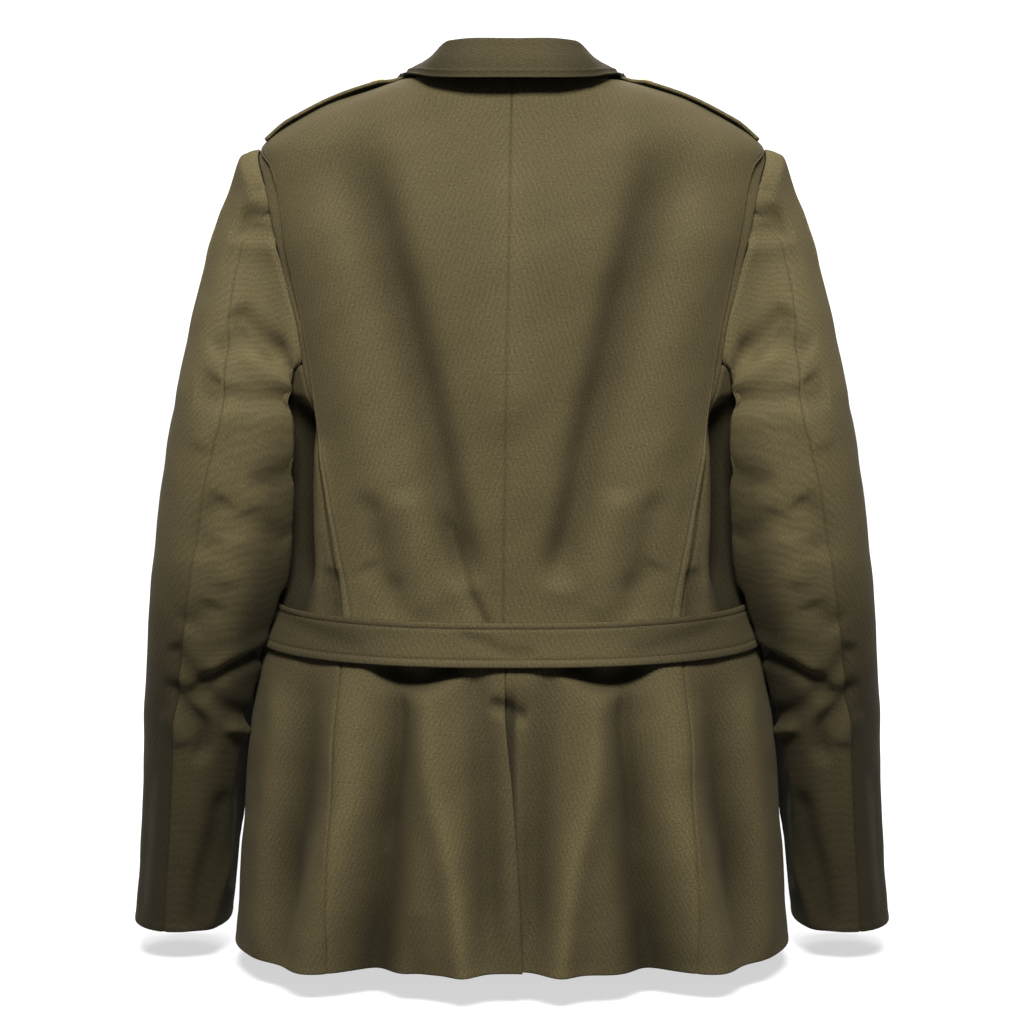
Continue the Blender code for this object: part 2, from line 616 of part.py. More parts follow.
def button(name, centre, axis, radius):
    """Plain domed button: a turned profile on a flat back."""
    turns = 14
    profile = ((1.0, 0.0), (1.0, 0.12), (0.86, 0.24), (0.5, 0.38))
    axis = unit(np.asarray(axis))
    side = unit(np.cross(axis, np.array((0.0, 0.3, 1.0))))
    up = np.cross(axis, side)
    angle = np.linspace(0, 2 * math.pi, turns, endpoint=False)
    points = [centre + radius * (r * (np.cos(a) * side + np.sin(a) * up) + h * axis)
              for r, h in profile for a in angle]
    points += [centre, centre + radius * 0.43 * axis]
    triangles = []
    for ring in range(len(profile) - 1):
        for i in range(turns):
            j = (i + 1) % turns
            a, b, c, d = ring * turns + i, ring * turns + j, (ring + 1) * turns + j, (ring + 1) * turns + i
            triangles += [(a, b, c), (a, c, d)]
    base, tip = len(points) - 2, len(points) - 1
    last = (len(profile) - 1) * turns
    for i in range(turns):
        j = (i + 1) % turns
        triangles += [(base, j, i), (tip, last + i, last + j)]
    build(name, points, triangles, metal=True)


def front_buttons():
    for number, height in enumerate(BUTTON_HEIGHTS, 1):
        turn = np.array(180.0)
        out = outward(turn, height)
        foot = section(turn, height) + out * (folds(turn, np.array(height)) + LAYER + 0.5 * MM)
        button(f"front_button_{number}", foot, out, BUTTON_RADIUS)


def belt():
    """Half belt: straight behind the waist from side seam to side seam, clear of the cloth it spans."""
    turn = np.linspace(-SIDE_FRONT + 1.5, SIDE_FRONT - 1.5, 25)
    heights = np.linspace(BELT_HEIGHTS[0], BELT_HEIGHTS[1], 4)
    angle, height = np.meshgrid(turn, heights)
    height = height + BELT_LIFT * np.abs(angle / 97.0) ** 3
    out = outward(angle, height)
    stand = 4.2 * MM + 2.0 * MM * (1 - (np.abs(angle) / 97.0) ** 2)
    base = section(angle, height)
    rise = np.maximum(folds(angle, height), 0)
    face = base + out * (stand + rise * 0.5)[..., None]
    shell("belt", face, face - out * WALL)


def sleeve_section(angle, height):
    turn = np.radians(angle)
    rows = np.array(SLEEVE)
    outer, inner, behind, before, power = (smooth(rows[:, 0], rows[:, i], height) for i in range(1, 6))
    wide, deep = (outer - inner) / 2, (before - behind) / 2
    reach = (np.abs(np.cos(turn) / wide) ** power + np.abs(np.sin(turn) / deep) ** power) ** (-1 / power)
    return np.stack([(outer + inner) / 2 + reach * np.cos(turn),
                     (before + behind) / 2 - reach * np.sin(turn), height + 0 * turn], -1)


def sleeve_angles(height):
    """Angle of each armhole sample's line at a height: even steps between the two lengthwise seams."""
    hind, fore = column(HINDARM, height), column(FOREARM, height)
    count = BACK_ROWS + UNDER_ROWS + FRONT_ROWS
    k = np.arange(count)
    under = (k - HINDARM_AT) / (FOREARM_AT - HINDARM_AT)
    over = ((k - FOREARM_AT) % count) / (count - FOREARM_AT + HINDARM_AT)
    inside = (k >= HINDARM_AT) & (k <= FOREARM_AT)
    hind, fore = np.asarray(hind)[..., None], np.asarray(fore)[..., None]
    return np.where(inside, hind + (fore - hind) * under, fore + (360 + hind - fore) * over)


def seam_frame(share):
    """Ways out of the body and onward past the armhole's edge, eased round it so the sleeve leaves evenly."""
    count = 240
    fine = np.arange(count) / count
    loop = armhole_at(fine)
    start = section(loop[:, 0], loop[:, 1])
    out = outward(loop[:, 0], loop[:, 1])
    edge = unit(np.roll(start, -3, 0) - np.roll(start, 3, 0))
    onward = unit(np.cross(edge, out))
    onward *= np.sign(((start.mean(0) - start) * onward).sum(-1, keepdims=True))
    ways = []
    for way, ease in ((out, 4), (onward, 9)):
        reach = np.arange(-3 * ease, 3 * ease + 1)
        weight = np.exp(-(reach / ease) ** 2)
        eased = sum(w * np.roll(way, -r, 0) for w, r in zip(weight, reach))
        eased = np.concatenate([eased, eased[:1]])
        at = (np.asarray(share) % 1.0) * count
        ways.append(unit(np.stack([np.interp(at, np.arange(count + 1), eased[:, i]) for i in range(3)], -1)))
    return ways


def armhole_at(share):
    """(angle, height) round the armhole by sample: down the back, under the arm, up the front."""
    count = BACK_ROWS + UNDER_ROWS + FRONT_ROWS
    at = (np.asarray(share, float) % 1.0) * count
    back_height = -0.058 + (-0.235 + 0.058) * np.clip(at / BACK_ROWS, 0, 1) ** 1.45
    behind = pair(column(ARMHOLE_BACK, back_height), back_height)
    under = np.clip((at - BACK_ROWS) / UNDER_ROWS, 0, 1)
    below = pair(column(ARMHOLE_UNDER, under, 2), column(ARMHOLE_UNDER, under, 1))
    front = np.clip((at - BACK_ROWS - UNDER_ROWS) / FRONT_ROWS, 0, 1)
    before = pair(column(ARMHOLE_FRONT, front, 2), column(ARMHOLE_FRONT, front, 1))
    rest = np.where((at <= BACK_ROWS + UNDER_ROWS)[..., None], below, before)
    return np.where((at <= BACK_ROWS)[..., None], behind, rest)


def cap_curves(start, leave, foot, down, low, rows):
    """Curves from armhole points to the first full section, leaving one way and arriving another."""
    reach = np.linalg.norm(foot - start, axis=-1, keepdims=True)
    swing = 0.9 - 0.10 * (1 - low) ** 4
    t = np.asarray(rows)[:, None, None]
    ease = 2 * t ** 3 - 3 * t ** 2 + 1
    return (start * ease + leave * reach * swing * (t ** 3 - 2 * t ** 2 + t) + foot * (1 - ease)
            + down * reach * 0.9 * (t ** 3 - t ** 2))


def sleeve_grid():
    count = BACK_ROWS + UNDER_ROWS + FRONT_ROWS
    share = np.arange(count) / count
    loop = armhole_at(share)
    start_out, onward = seam_frame(share)
    start = section(loop[:, 0], loop[:, 1]) + outward(loop[:, 0], loop[:, 1]) * (
        folds(loop[:, 0], loop[:, 1]) + seam_sink(loop[:, 0], loop[:, 1]))[:, None] + onward * SEAM_GAP
    heights = np.concatenate([[CAP_FOOT], np.linspace(CAP_FOOT, CUFF, 11)[1:]])
    angles = sleeve_angles(heights)
    tube = sleeve_section(angles, heights[:, None])
    foot = tube[0]
    down = unit(sleeve_section(angles[0], np.full(angles[0].shape, CAP_FOOT - 0.01)) - foot)
    low = np.clip((-start[:, 2:] - 0.058) / 0.19, 0, 1)
    leave = unit(onward * (0.75 - 0.50 * low ** 3) + start_out * (0.25 + 0.55 * low ** 3)
                 + np.array((0, 0, -1.0)) * (0.25 + 0.05 * low ** 3))
    cap = cap_curves(start, leave, foot, down, low, CAP_ROWS)
    # The head is filled out until its outermost line, above the shoulder seam's end, follows its own table.
    crest = cap[:, 0]
    fill = smooth([h for h, _ in HEAD], [x for _, x in HEAD], crest[:, 2]) - crest[:, 0]
    away = np.minimum(share, 1 - share)
    cap[..., 0] += np.maximum(fill, 0)[:, None] * np.exp(-(away / 0.17) ** 2)
    face = np.concatenate([cap, tube])
    round_angle = np.concatenate([np.repeat(angles[:1], len(cap), 0), angles])
    # Creases, measured round and down the sleeve.
    rise = np.zeros(face.shape[:2])
    turn = np.radians((round_angle - 60) % 360 + 60) * 0.055
    for name, amount, half_width, path in SLEEVE_FOLDS:
        rows = np.array(path, float)
        path_turn = np.radians((rows[:, 0] - 60) % 360 + 60) * 0.055
        rise += along_path(turn, face[..., 2], np.stack([path_turn, rows[:, 1]], -1),
                           amount, half_width)
    # Clear of the body, and of the pocket flap beside the lower sleeve.
    depth = np.concatenate([[0.0, 0.5, 0.9], np.ones(len(face) - 3)])[:, None]
    beside = step(-0.72, -0.69, face[..., 2]) * (1 - step(-0.47, -0.44, face[..., 2]))
    beside = beside * step(-0.035, -0.005, face[..., 1])
    at_belt = step(-0.492, -0.484, face[..., 2]) * (1 - step(-0.430, -0.422, face[..., 2]))
    margin = depth * (3.6 * MM + np.maximum(8.0 * MM * beside, 6.0 * MM * at_belt))
    clear = pushed_out(face, np.where(depth > 0, margin, -1.0))
    face = np.where(depth[..., None] > 0, clear, face)
    down_way = np.gradient(face, axis=0)
    around = np.roll(face, -1, 1) - np.roll(face, 1, 1)
    normal = unit(np.cross(around, down_way))
    # The edge wall turns with the way the sleeve leaves the seam, so it never reaches under the body.
    edge_way = unit(start_out * np.maximum((leave * onward).sum(-1, keepdims=True), 0.0)
                    - onward * np.maximum((leave * start_out).sum(-1, keepdims=True), 0.0))
    normal[0] = edge_way
    normal[1] = unit(normal[1] + edge_way)
    return face + normal * np.minimum(rise, 0)[..., None], normal


def sleeves():
    face, normal = sleeve_grid()
    back = face - normal * WALL
    count = face.shape[1]
    under = np.arange(HINDARM_AT, FOREARM_AT + 1)
    top = np.arange(FOREARM_AT, count + HINDARM_AT + 1) % count
    for side, word in ((1, "right"), (-1, "left")):
        for name, columns in (("under_sleeve", under), ("top_sleeve", top)):
            shell(f"{name}_{word}", mirrored(face[:, columns], side), mirrored(back[:, columns], side))


def main():
    for obj in list(bpy.data.objects):
        bpy.data.objects.remove(obj, do_unlink=True)
    upper_back()
    side_panel()
    skirt()
    fronts()
    belt()
    collar()
    straps()
    front_buttons()
    sleeves()


if __name__ == "__main__":
    main()
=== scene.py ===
"""Belted service tunic in its worn, hollow form: fine cloth, seams, stitching, buttons and studio."""
import json
import math

import bpy
import numpy as np
from bpy.props import FloatProperty, FloatVectorProperty, PointerProperty
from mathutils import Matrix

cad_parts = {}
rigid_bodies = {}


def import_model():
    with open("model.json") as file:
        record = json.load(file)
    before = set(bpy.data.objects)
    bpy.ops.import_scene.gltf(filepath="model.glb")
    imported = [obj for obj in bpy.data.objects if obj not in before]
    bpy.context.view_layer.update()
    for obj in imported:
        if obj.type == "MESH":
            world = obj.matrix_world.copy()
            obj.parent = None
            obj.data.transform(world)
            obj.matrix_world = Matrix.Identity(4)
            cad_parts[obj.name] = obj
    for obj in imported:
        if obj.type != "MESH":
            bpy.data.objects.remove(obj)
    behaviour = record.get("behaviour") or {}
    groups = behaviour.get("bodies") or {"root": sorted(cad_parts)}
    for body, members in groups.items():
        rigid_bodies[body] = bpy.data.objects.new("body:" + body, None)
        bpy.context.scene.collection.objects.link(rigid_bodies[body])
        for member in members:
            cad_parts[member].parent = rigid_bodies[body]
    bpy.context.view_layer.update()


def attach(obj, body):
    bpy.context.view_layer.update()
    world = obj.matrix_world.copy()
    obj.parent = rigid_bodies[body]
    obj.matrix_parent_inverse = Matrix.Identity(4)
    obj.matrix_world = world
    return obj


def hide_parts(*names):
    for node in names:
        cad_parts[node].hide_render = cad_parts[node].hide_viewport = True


bl_info = {
    "name": "Belted Service Tunic",
    "version": (1, 0, 0),
    "blender": (4, 5, 0),
    "location": "View3D > Sidebar > Tunic",
    "description": "Builds a belted service tunic from its cut pieces, in worn form",
    "category": "Add Mesh",
}

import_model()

MM = 0.001
SIDES = ((1, "right"), (-1, "left"))
WORDS = dict(SIDES)
MOUNT = "wearer_shoulders"

# ---------------------------------------------------------------- the garment's sizes (metres, degrees)
# Level sections of the body.
BODY = (
    # height, half width, depth behind, depth before, squareness
    (-0.745, 0.2410, 0.142, 0.136, 2.40),
    (-0.640, 0.2335, 0.139, 0.133, 2.40),
    (-0.560, 0.2265, 0.133, 0.128, 2.40),
    (-0.510, 0.2190, 0.125, 0.123, 2.40),
    (-0.480, 0.2130, 0.119, 0.119, 2.40),
    (-0.443, 0.2020, 0.112, 0.114, 2.40),
    (-0.400, 0.1970, 0.117, 0.115, 2.40),
    (-0.320, 0.1960, 0.126, 0.121, 2.40),
    (-0.240, 0.2000, 0.130, 0.122, 2.40),
    (-0.160, 0.2070, 0.124, 0.112, 2.40),
    (-0.105, 0.2130, 0.109, 0.094, 2.30),
    (-0.060, 0.2125, 0.088, 0.072, 2.20),
    (-0.050, 0.2040, 0.0825, 0.0670, 2.15),
    (-0.033, 0.1760, 0.0735, 0.0600, 2.10),
    (-0.016, 0.1410, 0.0660, 0.0545, 2.05),
    (0.000, 0.0850, 0.0580, 0.0500, 2.00),
)
HEM, HEM_DROP, WAIST = -0.731, 0.008, -0.460
LAYER = 3.2 * MM
SEAM_GAP = 0.3 * MM
SIDE_FRONT = 97.0
UNDERARM, FLANK_TOP, SHOULDER = -0.235, -0.248, -0.058
FRONT_LAP = 0.020
PLEAT_HIDDEN = 0.016

PLEAT_FOLD = (
    # height, angle
    (-0.460, 56.5), (-0.439, 57.5), (-0.370, 59.2), (-0.296, 61.2), (-0.214, 63.4), (-0.174, 66.6),
    (-0.121, 71.3), (-0.075, 79.0), (-0.0555, 91.0),
)
SIDE_BACK = ((-0.745, 51.5), (-0.640, 51.7), (-0.487, 55.0), (-0.439, 58.2), (-0.404, 59.9), (-0.362, 61.0),
             (-0.308, 62.0), (-0.235, 65.5))
ARMHOLE_BACK = ((-0.235, 65.5), (-0.211, 66.0), (-0.166, 71.3), (-0.114, 76.7), (-0.080, 83.0),
                (-0.058, 91.0))
ARMHOLE_FRONT = (
    # share of the way from the underarm to the shoulder, height, angle
    (0.00, -0.248, 97.0), (0.22, -0.218, 108.0), (0.48, -0.165, 113.0), (0.76, -0.105, 106.0),
    (1.00, -0.058, 91.0),
)
ARMHOLE_UNDER = ((0.0, -0.235, 65.5), (0.5, -0.252, 81.0), (1.0, -0.248, 97.0))
VENT_EDGE = ((-0.745, 0.0092), (-0.668, 0.0065), (-0.586, 0.0008), (-0.509, -0.0057), (-0.460, -0.0057))
CENTRE_SEAM = ((-0.460, -0.0075), (-0.263, -0.0050), (-0.106, -0.0020), (0.000, 0.0))
ROLL = (
    # share of the way up from the top button, height, angle past the side
    (0.00, -0.235, 180.0), (0.30, -0.170, 166.5), (0.55, -0.110, 150.0), (0.78, -0.055, 131.0),
    (1.00, -0.001, 95.0),
)
LAPEL = (
    # share up the roll line, how far the lapel reaches out round the chest, how far its edge drops
    (0.00, 1.0, 0.000), (0.25, 7.0, 0.002), (0.50, 12.0, 0.014), (0.80, 13.5, 0.036),
)
SLEEVE = (
    # height, outer, inner, behind, before, squareness
    (-0.745, 0.3340, 0.2500, -0.022, 0.082, 2.2),
    (-0.665, 0.3275, 0.2400, -0.030, 0.085, 2.2),
    (-0.576, 0.3215, 0.2250, -0.045, 0.082, 2.2),
    (-0.487, 0.3145, 0.2000, -0.068, 0.075, 2.2),
    (-0.400, 0.3055, 0.1720, -0.088, 0.070, 2.2),
    (-0.314, 0.2935, 0.1620, -0.093, 0.070, 2.2),
    (-0.285, 0.2878, 0.1620, -0.093, 0.070, 2.2),
)
CAP_FOOT, CUFF = -0.285, -0.732
HEAD = (
    # height, how far out the sleeve's outermost line lies over the shoulder and down the upper arm
    (-0.285, 0.2878), (-0.249, 0.2812), (-0.215, 0.2732), (-0.182, 0.2658), (-0.148, 0.2582),
    (-0.114, 0.2488),
    (-0.097, 0.2420), (-0.081, 0.2362), (-0.070, 0.2325), (-0.064, 0.2295), (-0.060, 0.2210),
    (-0.058, 0.2130),
)
HINDARM = ((-0.745, 77.0), (-0.640, 77.0), (-0.540, 73.5), (-0.470, 71.5), (-0.400, 70.5), (-0.350, 72.0),
           (-0.285, 80.0))
FOREARM = ((-0.745, 238.0), (-0.285, 248.0))
# Shares of the armhole's length, from the shoulder seam down the back and round.
BACK_END, UNDER_END, HINDARM_AT, FOREARM_AT = 7 / 20, 11 / 20, 3 / 20, 14 / 20
BACK_LOW = 0.56                  # share of a back's height points that lie below the underarm
COLLAR = (
    # share from centre back to the front end, then out, back and up of: fold, outer edge
    (0.00, 0.000, -0.0585, 0.0268, 0.000, -0.0790, -0.0035),
    (0.22, 0.028, -0.0560, 0.0272, 0.033, -0.0770, -0.0035),
    (0.42, 0.050, -0.0440, 0.0258, 0.063, -0.0640, -0.0025),
    (0.58, 0.0635, -0.0220, 0.0155, 0.0785, -0.0400, 0.0004),
    (0.72, 0.0715, 0.0080, 0.0090, 0.0890, 0.0030, 0.0020),
    (0.86, 0.0735, 0.0380, -0.0110, 0.1000, 0.0400, -0.0140),
    (1.00, 0.0710, 0.0640, -0.0400, 0.1110, 0.0720, -0.0460),
)
STRAP = ((0.0900, 0.0050), (0.097, 0.0170), (0.150, 0.0185), (0.2050, 0.0190))
STRAP_FORWARD = 0.006            # the strap's middle line lies this much before the shoulder's top
STRAP_SEAT = (0.113, 0.012)      # where the strap button sits: out, forward
BELT_HEIGHTS = (-0.480, -0.443)
BELT_LIFT = 0.006                # the belt's ends are this much higher than its middle
BUTTON_HEIGHTS = (-0.258, -0.338, -0.418, -0.498)
# Rolled rim of a button, as shares of its radius: out from the axis, up along it.
BUTTON_RIM = ((0.02, 0.0), (0.6, 0.0), (0.96, 0.0), (1.0, 0.03), (1.0, 0.10), (0.97, 0.145), (0.935, 0.15),
              (0.912, 0.14))

# Soft shapes of the worn cloth: a ridge rises, a trough sinks.
FOLDS = (
    # name, face, side, rise, half width, (out from centre, height) along it
    ("upper_trough", "back", 0, -14.0, 17, ((0.142, -0.030), (0.125, -0.070), (0.106, -0.125),
     (0.093, -0.172), (0.081, -0.220), (0.069, -0.268), (0.058, -0.317), (0.049, -0.362), (0.040, -0.400),
     (0.036, -0.420))),
    ("blade_swell", "back", 0, 5.0, 24, ((0.160, -0.080), (0.142, -0.150), (0.126, -0.230), (0.112, -0.310),
     (0.098, -0.400))),
    ("spine_swell", "back", 0, 2.5, 22, ((0.004, -0.060), (0.006, -0.160), (0.006, -0.300))),
    ("waist_trough", "back", 0, -3.0, 10, ((0.116, -0.330), (0.112, -0.370), (0.104, -0.410),
     (0.100, -0.450))),
    ("waist_swell", "back", 0, 3.0, 13, ((0.086, -0.330), (0.080, -0.380), (0.070, -0.450))),
    ("side_ridge", "back", 0, 3.5, 8, ((0.160, -0.290), (0.163, -0.360), (0.164, -0.445))),
    ("side_trough", "back", 0, -24.0, 11, ((0.177, -0.258), (0.179, -0.310), (0.179, -0.360),
     (0.180, -0.445))),
    ("seam_pocket", "back", 0, -4.0, 6, ((0.150, -0.400), (0.152, -0.430), (0.154, -0.455))),
    ("flute_1", "back", 0, 13.0, 14, ((0.068, -0.470), (0.071, -0.510), (0.071, -0.540), (0.063, -0.586),
     (0.051, -0.636), (0.043, -0.690), (0.038, -0.760), (0.036, -0.800)), 0.25),
    ("flute_2", "back", 0, 15.0, 15, ((0.126, -0.470), (0.131, -0.510), (0.133, -0.541), (0.133, -0.590),
     (0.146, -0.641), (0.161, -0.695), (0.172, -0.760), (0.178, -0.800)), 0.25),
    ("flute_3", "back", 0, 4.5, 11, ((0.196, -0.490), (0.199, -0.550), (0.206, -0.610), (0.212, -0.700),
     (0.214, -0.760))),
    ("hollow_1", "back", 0, -20.0, 15, ((0.104, -0.455), (0.094, -0.510), (0.093, -0.539), (0.100, -0.588),
     (0.104, -0.638), (0.113, -0.700), (0.120, -0.760), (0.122, -0.800)), 0.40),
    ("hollow_2", "back", 0, -12.0, 11, ((0.165, -0.470), (0.170, -0.520), (0.172, -0.545), (0.176, -0.595),
     (0.185, -0.646), (0.192, -0.760)), 0.35),
    ("hollow_3", "back", 0, -12.0, 14, ((0.040, -0.462), (0.030, -0.500), (0.024, -0.537), (0.022, -0.586),
     (0.020, -0.660), (0.018, -0.740)), 0.5),
    ("belt_gap", "back", 0, -18.0, 10, ((0.036, -0.470), (0.056, -0.481), (0.076, -0.489), (0.094, -0.486),
     (0.114, -0.472))),
    ("pinch", "back", 0, -5.0, 5, ((0.098, -0.490), (0.093, -0.515), (0.095, -0.550), (0.100, -0.585),
     (0.106, -0.640))),
    ("trough_tail", "back", -1, -4.0, 7, ((0.060, -0.350), (0.047, -0.390), (0.033, -0.425),
     (0.012, -0.466))),
    ("waist_dimple", "back", 0, -2.0, 11, ((0.122, -0.395), (0.106, -0.412), (0.088, -0.420))),
    ("vent_sink", "back", 1, -7.0, 6, ((-0.022, -0.508), (-0.006, -0.512), (0.004, -0.517),
     (0.014, -0.519)), 1.0),
    ("hem_dent", "back", -1, -4.0, 9, ((0.078, -0.680), (0.081, -0.705), (0.078, -0.735),
     (0.076, -0.765)), 0.3),
    ("front_ridge", "front", 0, 4.5, 18, ((0.100, -0.300), (0.090, -0.400), (0.095, -0.470))),
    ("front_trough", "front", 0, -4.5, 15, ((0.060, -0.300), (0.055, -0.400), (0.060, -0.480),
     (0.075, -0.740))),
    ("front_side_trough", "front", 0, -4.5, 13, ((0.150, -0.280), (0.145, -0.380), (0.140, -0.450))),
    ("front_waist", "front", 0, -3.0, 10, ((0.125, -0.440), (0.080, -0.455), (0.035, -0.430))),
    ("front_flute", "front", 0, 5.0, 14, ((0.125, -0.500), (0.130, -0.600), (0.140, -0.760))),
)
BELT_FOLDS = (
    # rise, half width, (out from centre, height) along it
    (-1.8, 5, ((-0.048, -0.451), (-0.022, -0.460), (0.002, -0.468), (0.024, -0.468))),
    (-1.3, 6, ((-0.205, -0.446), (-0.165, -0.456), (-0.112, -0.468))),
    (-1.3, 6, ((0.090, -0.470), (0.135, -0.461), (0.180, -0.450))),
)
SLEEVE_FOLDS = (
    # name, rise, half width, (angle round the sleeve, height) along it
    ("head_drape", -6.0, 9, ((95, -0.100), (86, -0.108), (76, -0.115), (60, -0.123), (46, -0.127))),
    ("head_drape_ridge", 2.5, 9, ((92, -0.125), (75, -0.136), (50, -0.146))),
    ("head_dimple", -2.0, 6, ((72, -0.082), (68, -0.089), (60, -0.095))),
    ("elbow_under", -8.0, 9, ((84, -0.188), (93, -0.199), (108, -0.216), (126, -0.231))),
    ("elbow_under_ridge", 4.5, 9, ((92, -0.222), (112, -0.243), (140, -0.262))),
    ("upper_outer", -6.0, 8, ((96, -0.205), (86, -0.212), (78, -0.218), (68, -0.225))),
    ("mid_outer", -5.0, 10, ((78, -0.244), (68, -0.258), (56, -0.274))),
    ("mid_outer_ridge", 2.5, 9, ((92, -0.262), (80, -0.280), (66, -0.306))),
    ("inner_fold", -3.5, 10, ((140, -0.318), (125, -0.325), (112, -0.330), (98, -0.334))),
    ("inner_fold_low", -3.0, 9, ((135, -0.384), (122, -0.376), (110, -0.366), (98, -0.352))),
    ("elbow_back", -4.0, 9, ((90, -0.345), (82, -0.352), (74, -0.372), (80, -0.398))),
    ("elbow_back_ridge", 2.5, 8, ((96, -0.372), (92, -0.395), (96, -0.420))),
    ("elbow_point", -3.0, 10, ((90, -0.432), (82, -0.444), (70, -0.456))),
    ("fore_small", -4.0, 7, ((62, -0.470), (70, -0.480), (86, -0.501), (94, -0.508))),
    ("fore_main", -8.0, 7, ((78, -0.519), (87, -0.513), (101, -0.498), (116, -0.487), (150, -0.474),
     (175, -0.468))),
    ("fore_main_ridge", 3.5, 7, ((92, -0.498), (106, -0.484), (125, -0.474), (150, -0.462))),
    ("fore_second", -4.5, 7, ((90, -0.511), (98, -0.516), (109, -0.527), (140, -0.540), (172, -0.550))),
    ("fore_light", 6.0, 6, ((110, -0.541), (135, -0.552), (165, -0.562))),
    ("fore_curve", -7.0, 6, ((60, -0.500), (72, -0.514), (85, -0.531), (96, -0.546), (98, -0.561),
     (94, -0.580))),
    ("fore_curve_ridge", 3.0, 7, ((62, -0.530), (74, -0.545), (84, -0.562))),
    ("cuff_inner", 3.5, 10, ((165, -0.620), (150, -0.660), (128, -0.705), (118, -0.740))),
    ("cuff_inner_hollow", -4.0, 10, ((120, -0.600), (118, -0.640), (108, -0.690), (104, -0.740))),
    ("cuff_outer_hollow", -2.5, 12, ((50, -0.580), (46, -0.640), (44, -0.740))),
    ("front_elbow", -5.0, 11, ((200, -0.400), (240, -0.420), (280, -0.440))),
    ("front_elbow_low", -4.0, 10, ((215, -0.440), (250, -0.462), (290, -0.470))),
    ("front_lower", -3.5, 12, ((230, -0.520), (270, -0.540), (320, -0.530))),
)


# ---------------------------------------------------------------- curves and the body's surface
def cubic(knots, values, slope, at):
    """Cubic between each pair of knots that meets them with the given slopes."""
    i = np.clip(np.searchsorted(knots, at, side="right") - 1, 0, len(knots) - 2)
    d = knots[i + 1] - knots[i]
    u = (at - knots[i]) / d
    if values.ndim == 2:
        d, u = d[:, None], u[:, None]
    return (values[i] * (1 + 2 * u) * (1 - u) ** 2 + slope[i] * d * u * (1 - u) ** 2
            + values[i + 1] * u * u * (3 - 2 * u) + slope[i + 1] * d * u * u * (u - 1))


def smooth(knots, values, at):
    """Curve through a table's rows that never runs past them: cubic, with slopes held back at a turn."""
    k, v, at = (np.asarray(x, float) for x in (knots, values, at))
    if v.ndim == 2:
        return np.stack([smooth(k, v[:, i], at) for i in range(v.shape[1])], -1)
    rise = np.diff(v) / np.diff(k)
    both = rise[:-1] * rise[1:]
    inner = np.where(both > 0, 2 * both / np.where(both > 0, rise[:-1] + rise[1:], 1.0), 0.0)
    return cubic(k, v, np.concatenate([rise[:1], inner, rise[-1:]]), np.clip(at, k[0], k[-1]))


def spline(knots, points, at):
    """Natural smooth curve through points: cubic with slopes taken from the neighbours."""
    return cubic(knots, points, np.gradient(points, knots, axis=0), at)


def column(table, at, number=1):
    """Curve through one column of a table, by its first column."""
    rows = np.array(table, float)
    return smooth(rows[:, 0], rows[:, number], at)


def eased_body():
    """The body's table on a fine ladder of heights, each row a bell-shaped average of its neighbours, so
    no level shows as a line across the cloth; the two ends keep their own values."""
    rows = np.array(BODY)
    ladder = np.linspace(rows[0, 0], rows[-1, 0], 1491)
    fine = smooth(rows[:, 0], rows[:, 1:], ladder)
    reach = np.arange(-36, 37)
    weight = np.exp(-(reach / 14.0) ** 2)
    padded = np.concatenate([2 * fine[0] - fine[36:0:-1], fine, 2 * fine[-1] - fine[-2:-38:-1]])
    eased = sum(w * padded[36 + r:36 + r + len(fine)] for w, r in zip(weight, reach)) / weight.sum()
    return ladder, eased


EASED = eased_body()


def body_shape(height, behind=True):
    """Half width, depth behind or before, and squareness of the eased body at a height."""
    wide, back, front, power = (np.interp(height, EASED[0], EASED[1][:, i]) for i in range(4))
    return wide, np.where(behind, back, front), power


def step(low, high, at):
    """Soft step: 0 up to low, 1 from high."""
    u = np.clip((np.asarray(at, float) - low) / (high - low), 0.0, 1.0)
    return u * u * (3 - 2 * u)


def unit(v):
    """Vectors at length one."""
    return v / np.maximum(np.linalg.norm(v, axis=-1, keepdims=True), 1e-12)


def section(angle, height):
    """Point on the plain body: at each height a rounded section, where the sum of the side and depth shares,
    each raised to the squareness, is one; angle 0 is the centre back."""
    angle, height = np.broadcast_arrays(np.asarray(angle, float), np.asarray(height, float))
    turn = np.radians(angle)
    wide, deep, power = body_shape(height, np.cos(turn) > 0)
    reach = (np.abs(np.sin(turn) / wide) ** power + np.abs(np.cos(turn) / deep) ** power) ** (-1 / power)
    return np.stack([reach * np.sin(turn), -reach * np.cos(turn), height], -1)


def outward(angle, height):
    """Direction out of the plain body: across the section crossed with up the body."""
    across = section(angle + 0.05, height) - section(angle - 0.05, height)
    rise = section(angle, height + 1e-4) - section(angle, height - 1e-4)
    return unit(np.cross(across, rise))


def angle_at(out, height, face="back"):
    """Angle whose point lies the given distance out from the centre, on one face."""
    wide, deep, power = body_shape(height, face == "back")
    share = np.clip(np.abs(out) / wide, 0, 0.995)
    turn = np.degrees(np.arctan2(np.abs(out), deep * (1 - share ** power) ** (1 / power)))
    turn = turn if face == "back" else 180 - turn
    return np.where(np.asarray(out) < 0, -turn, turn)


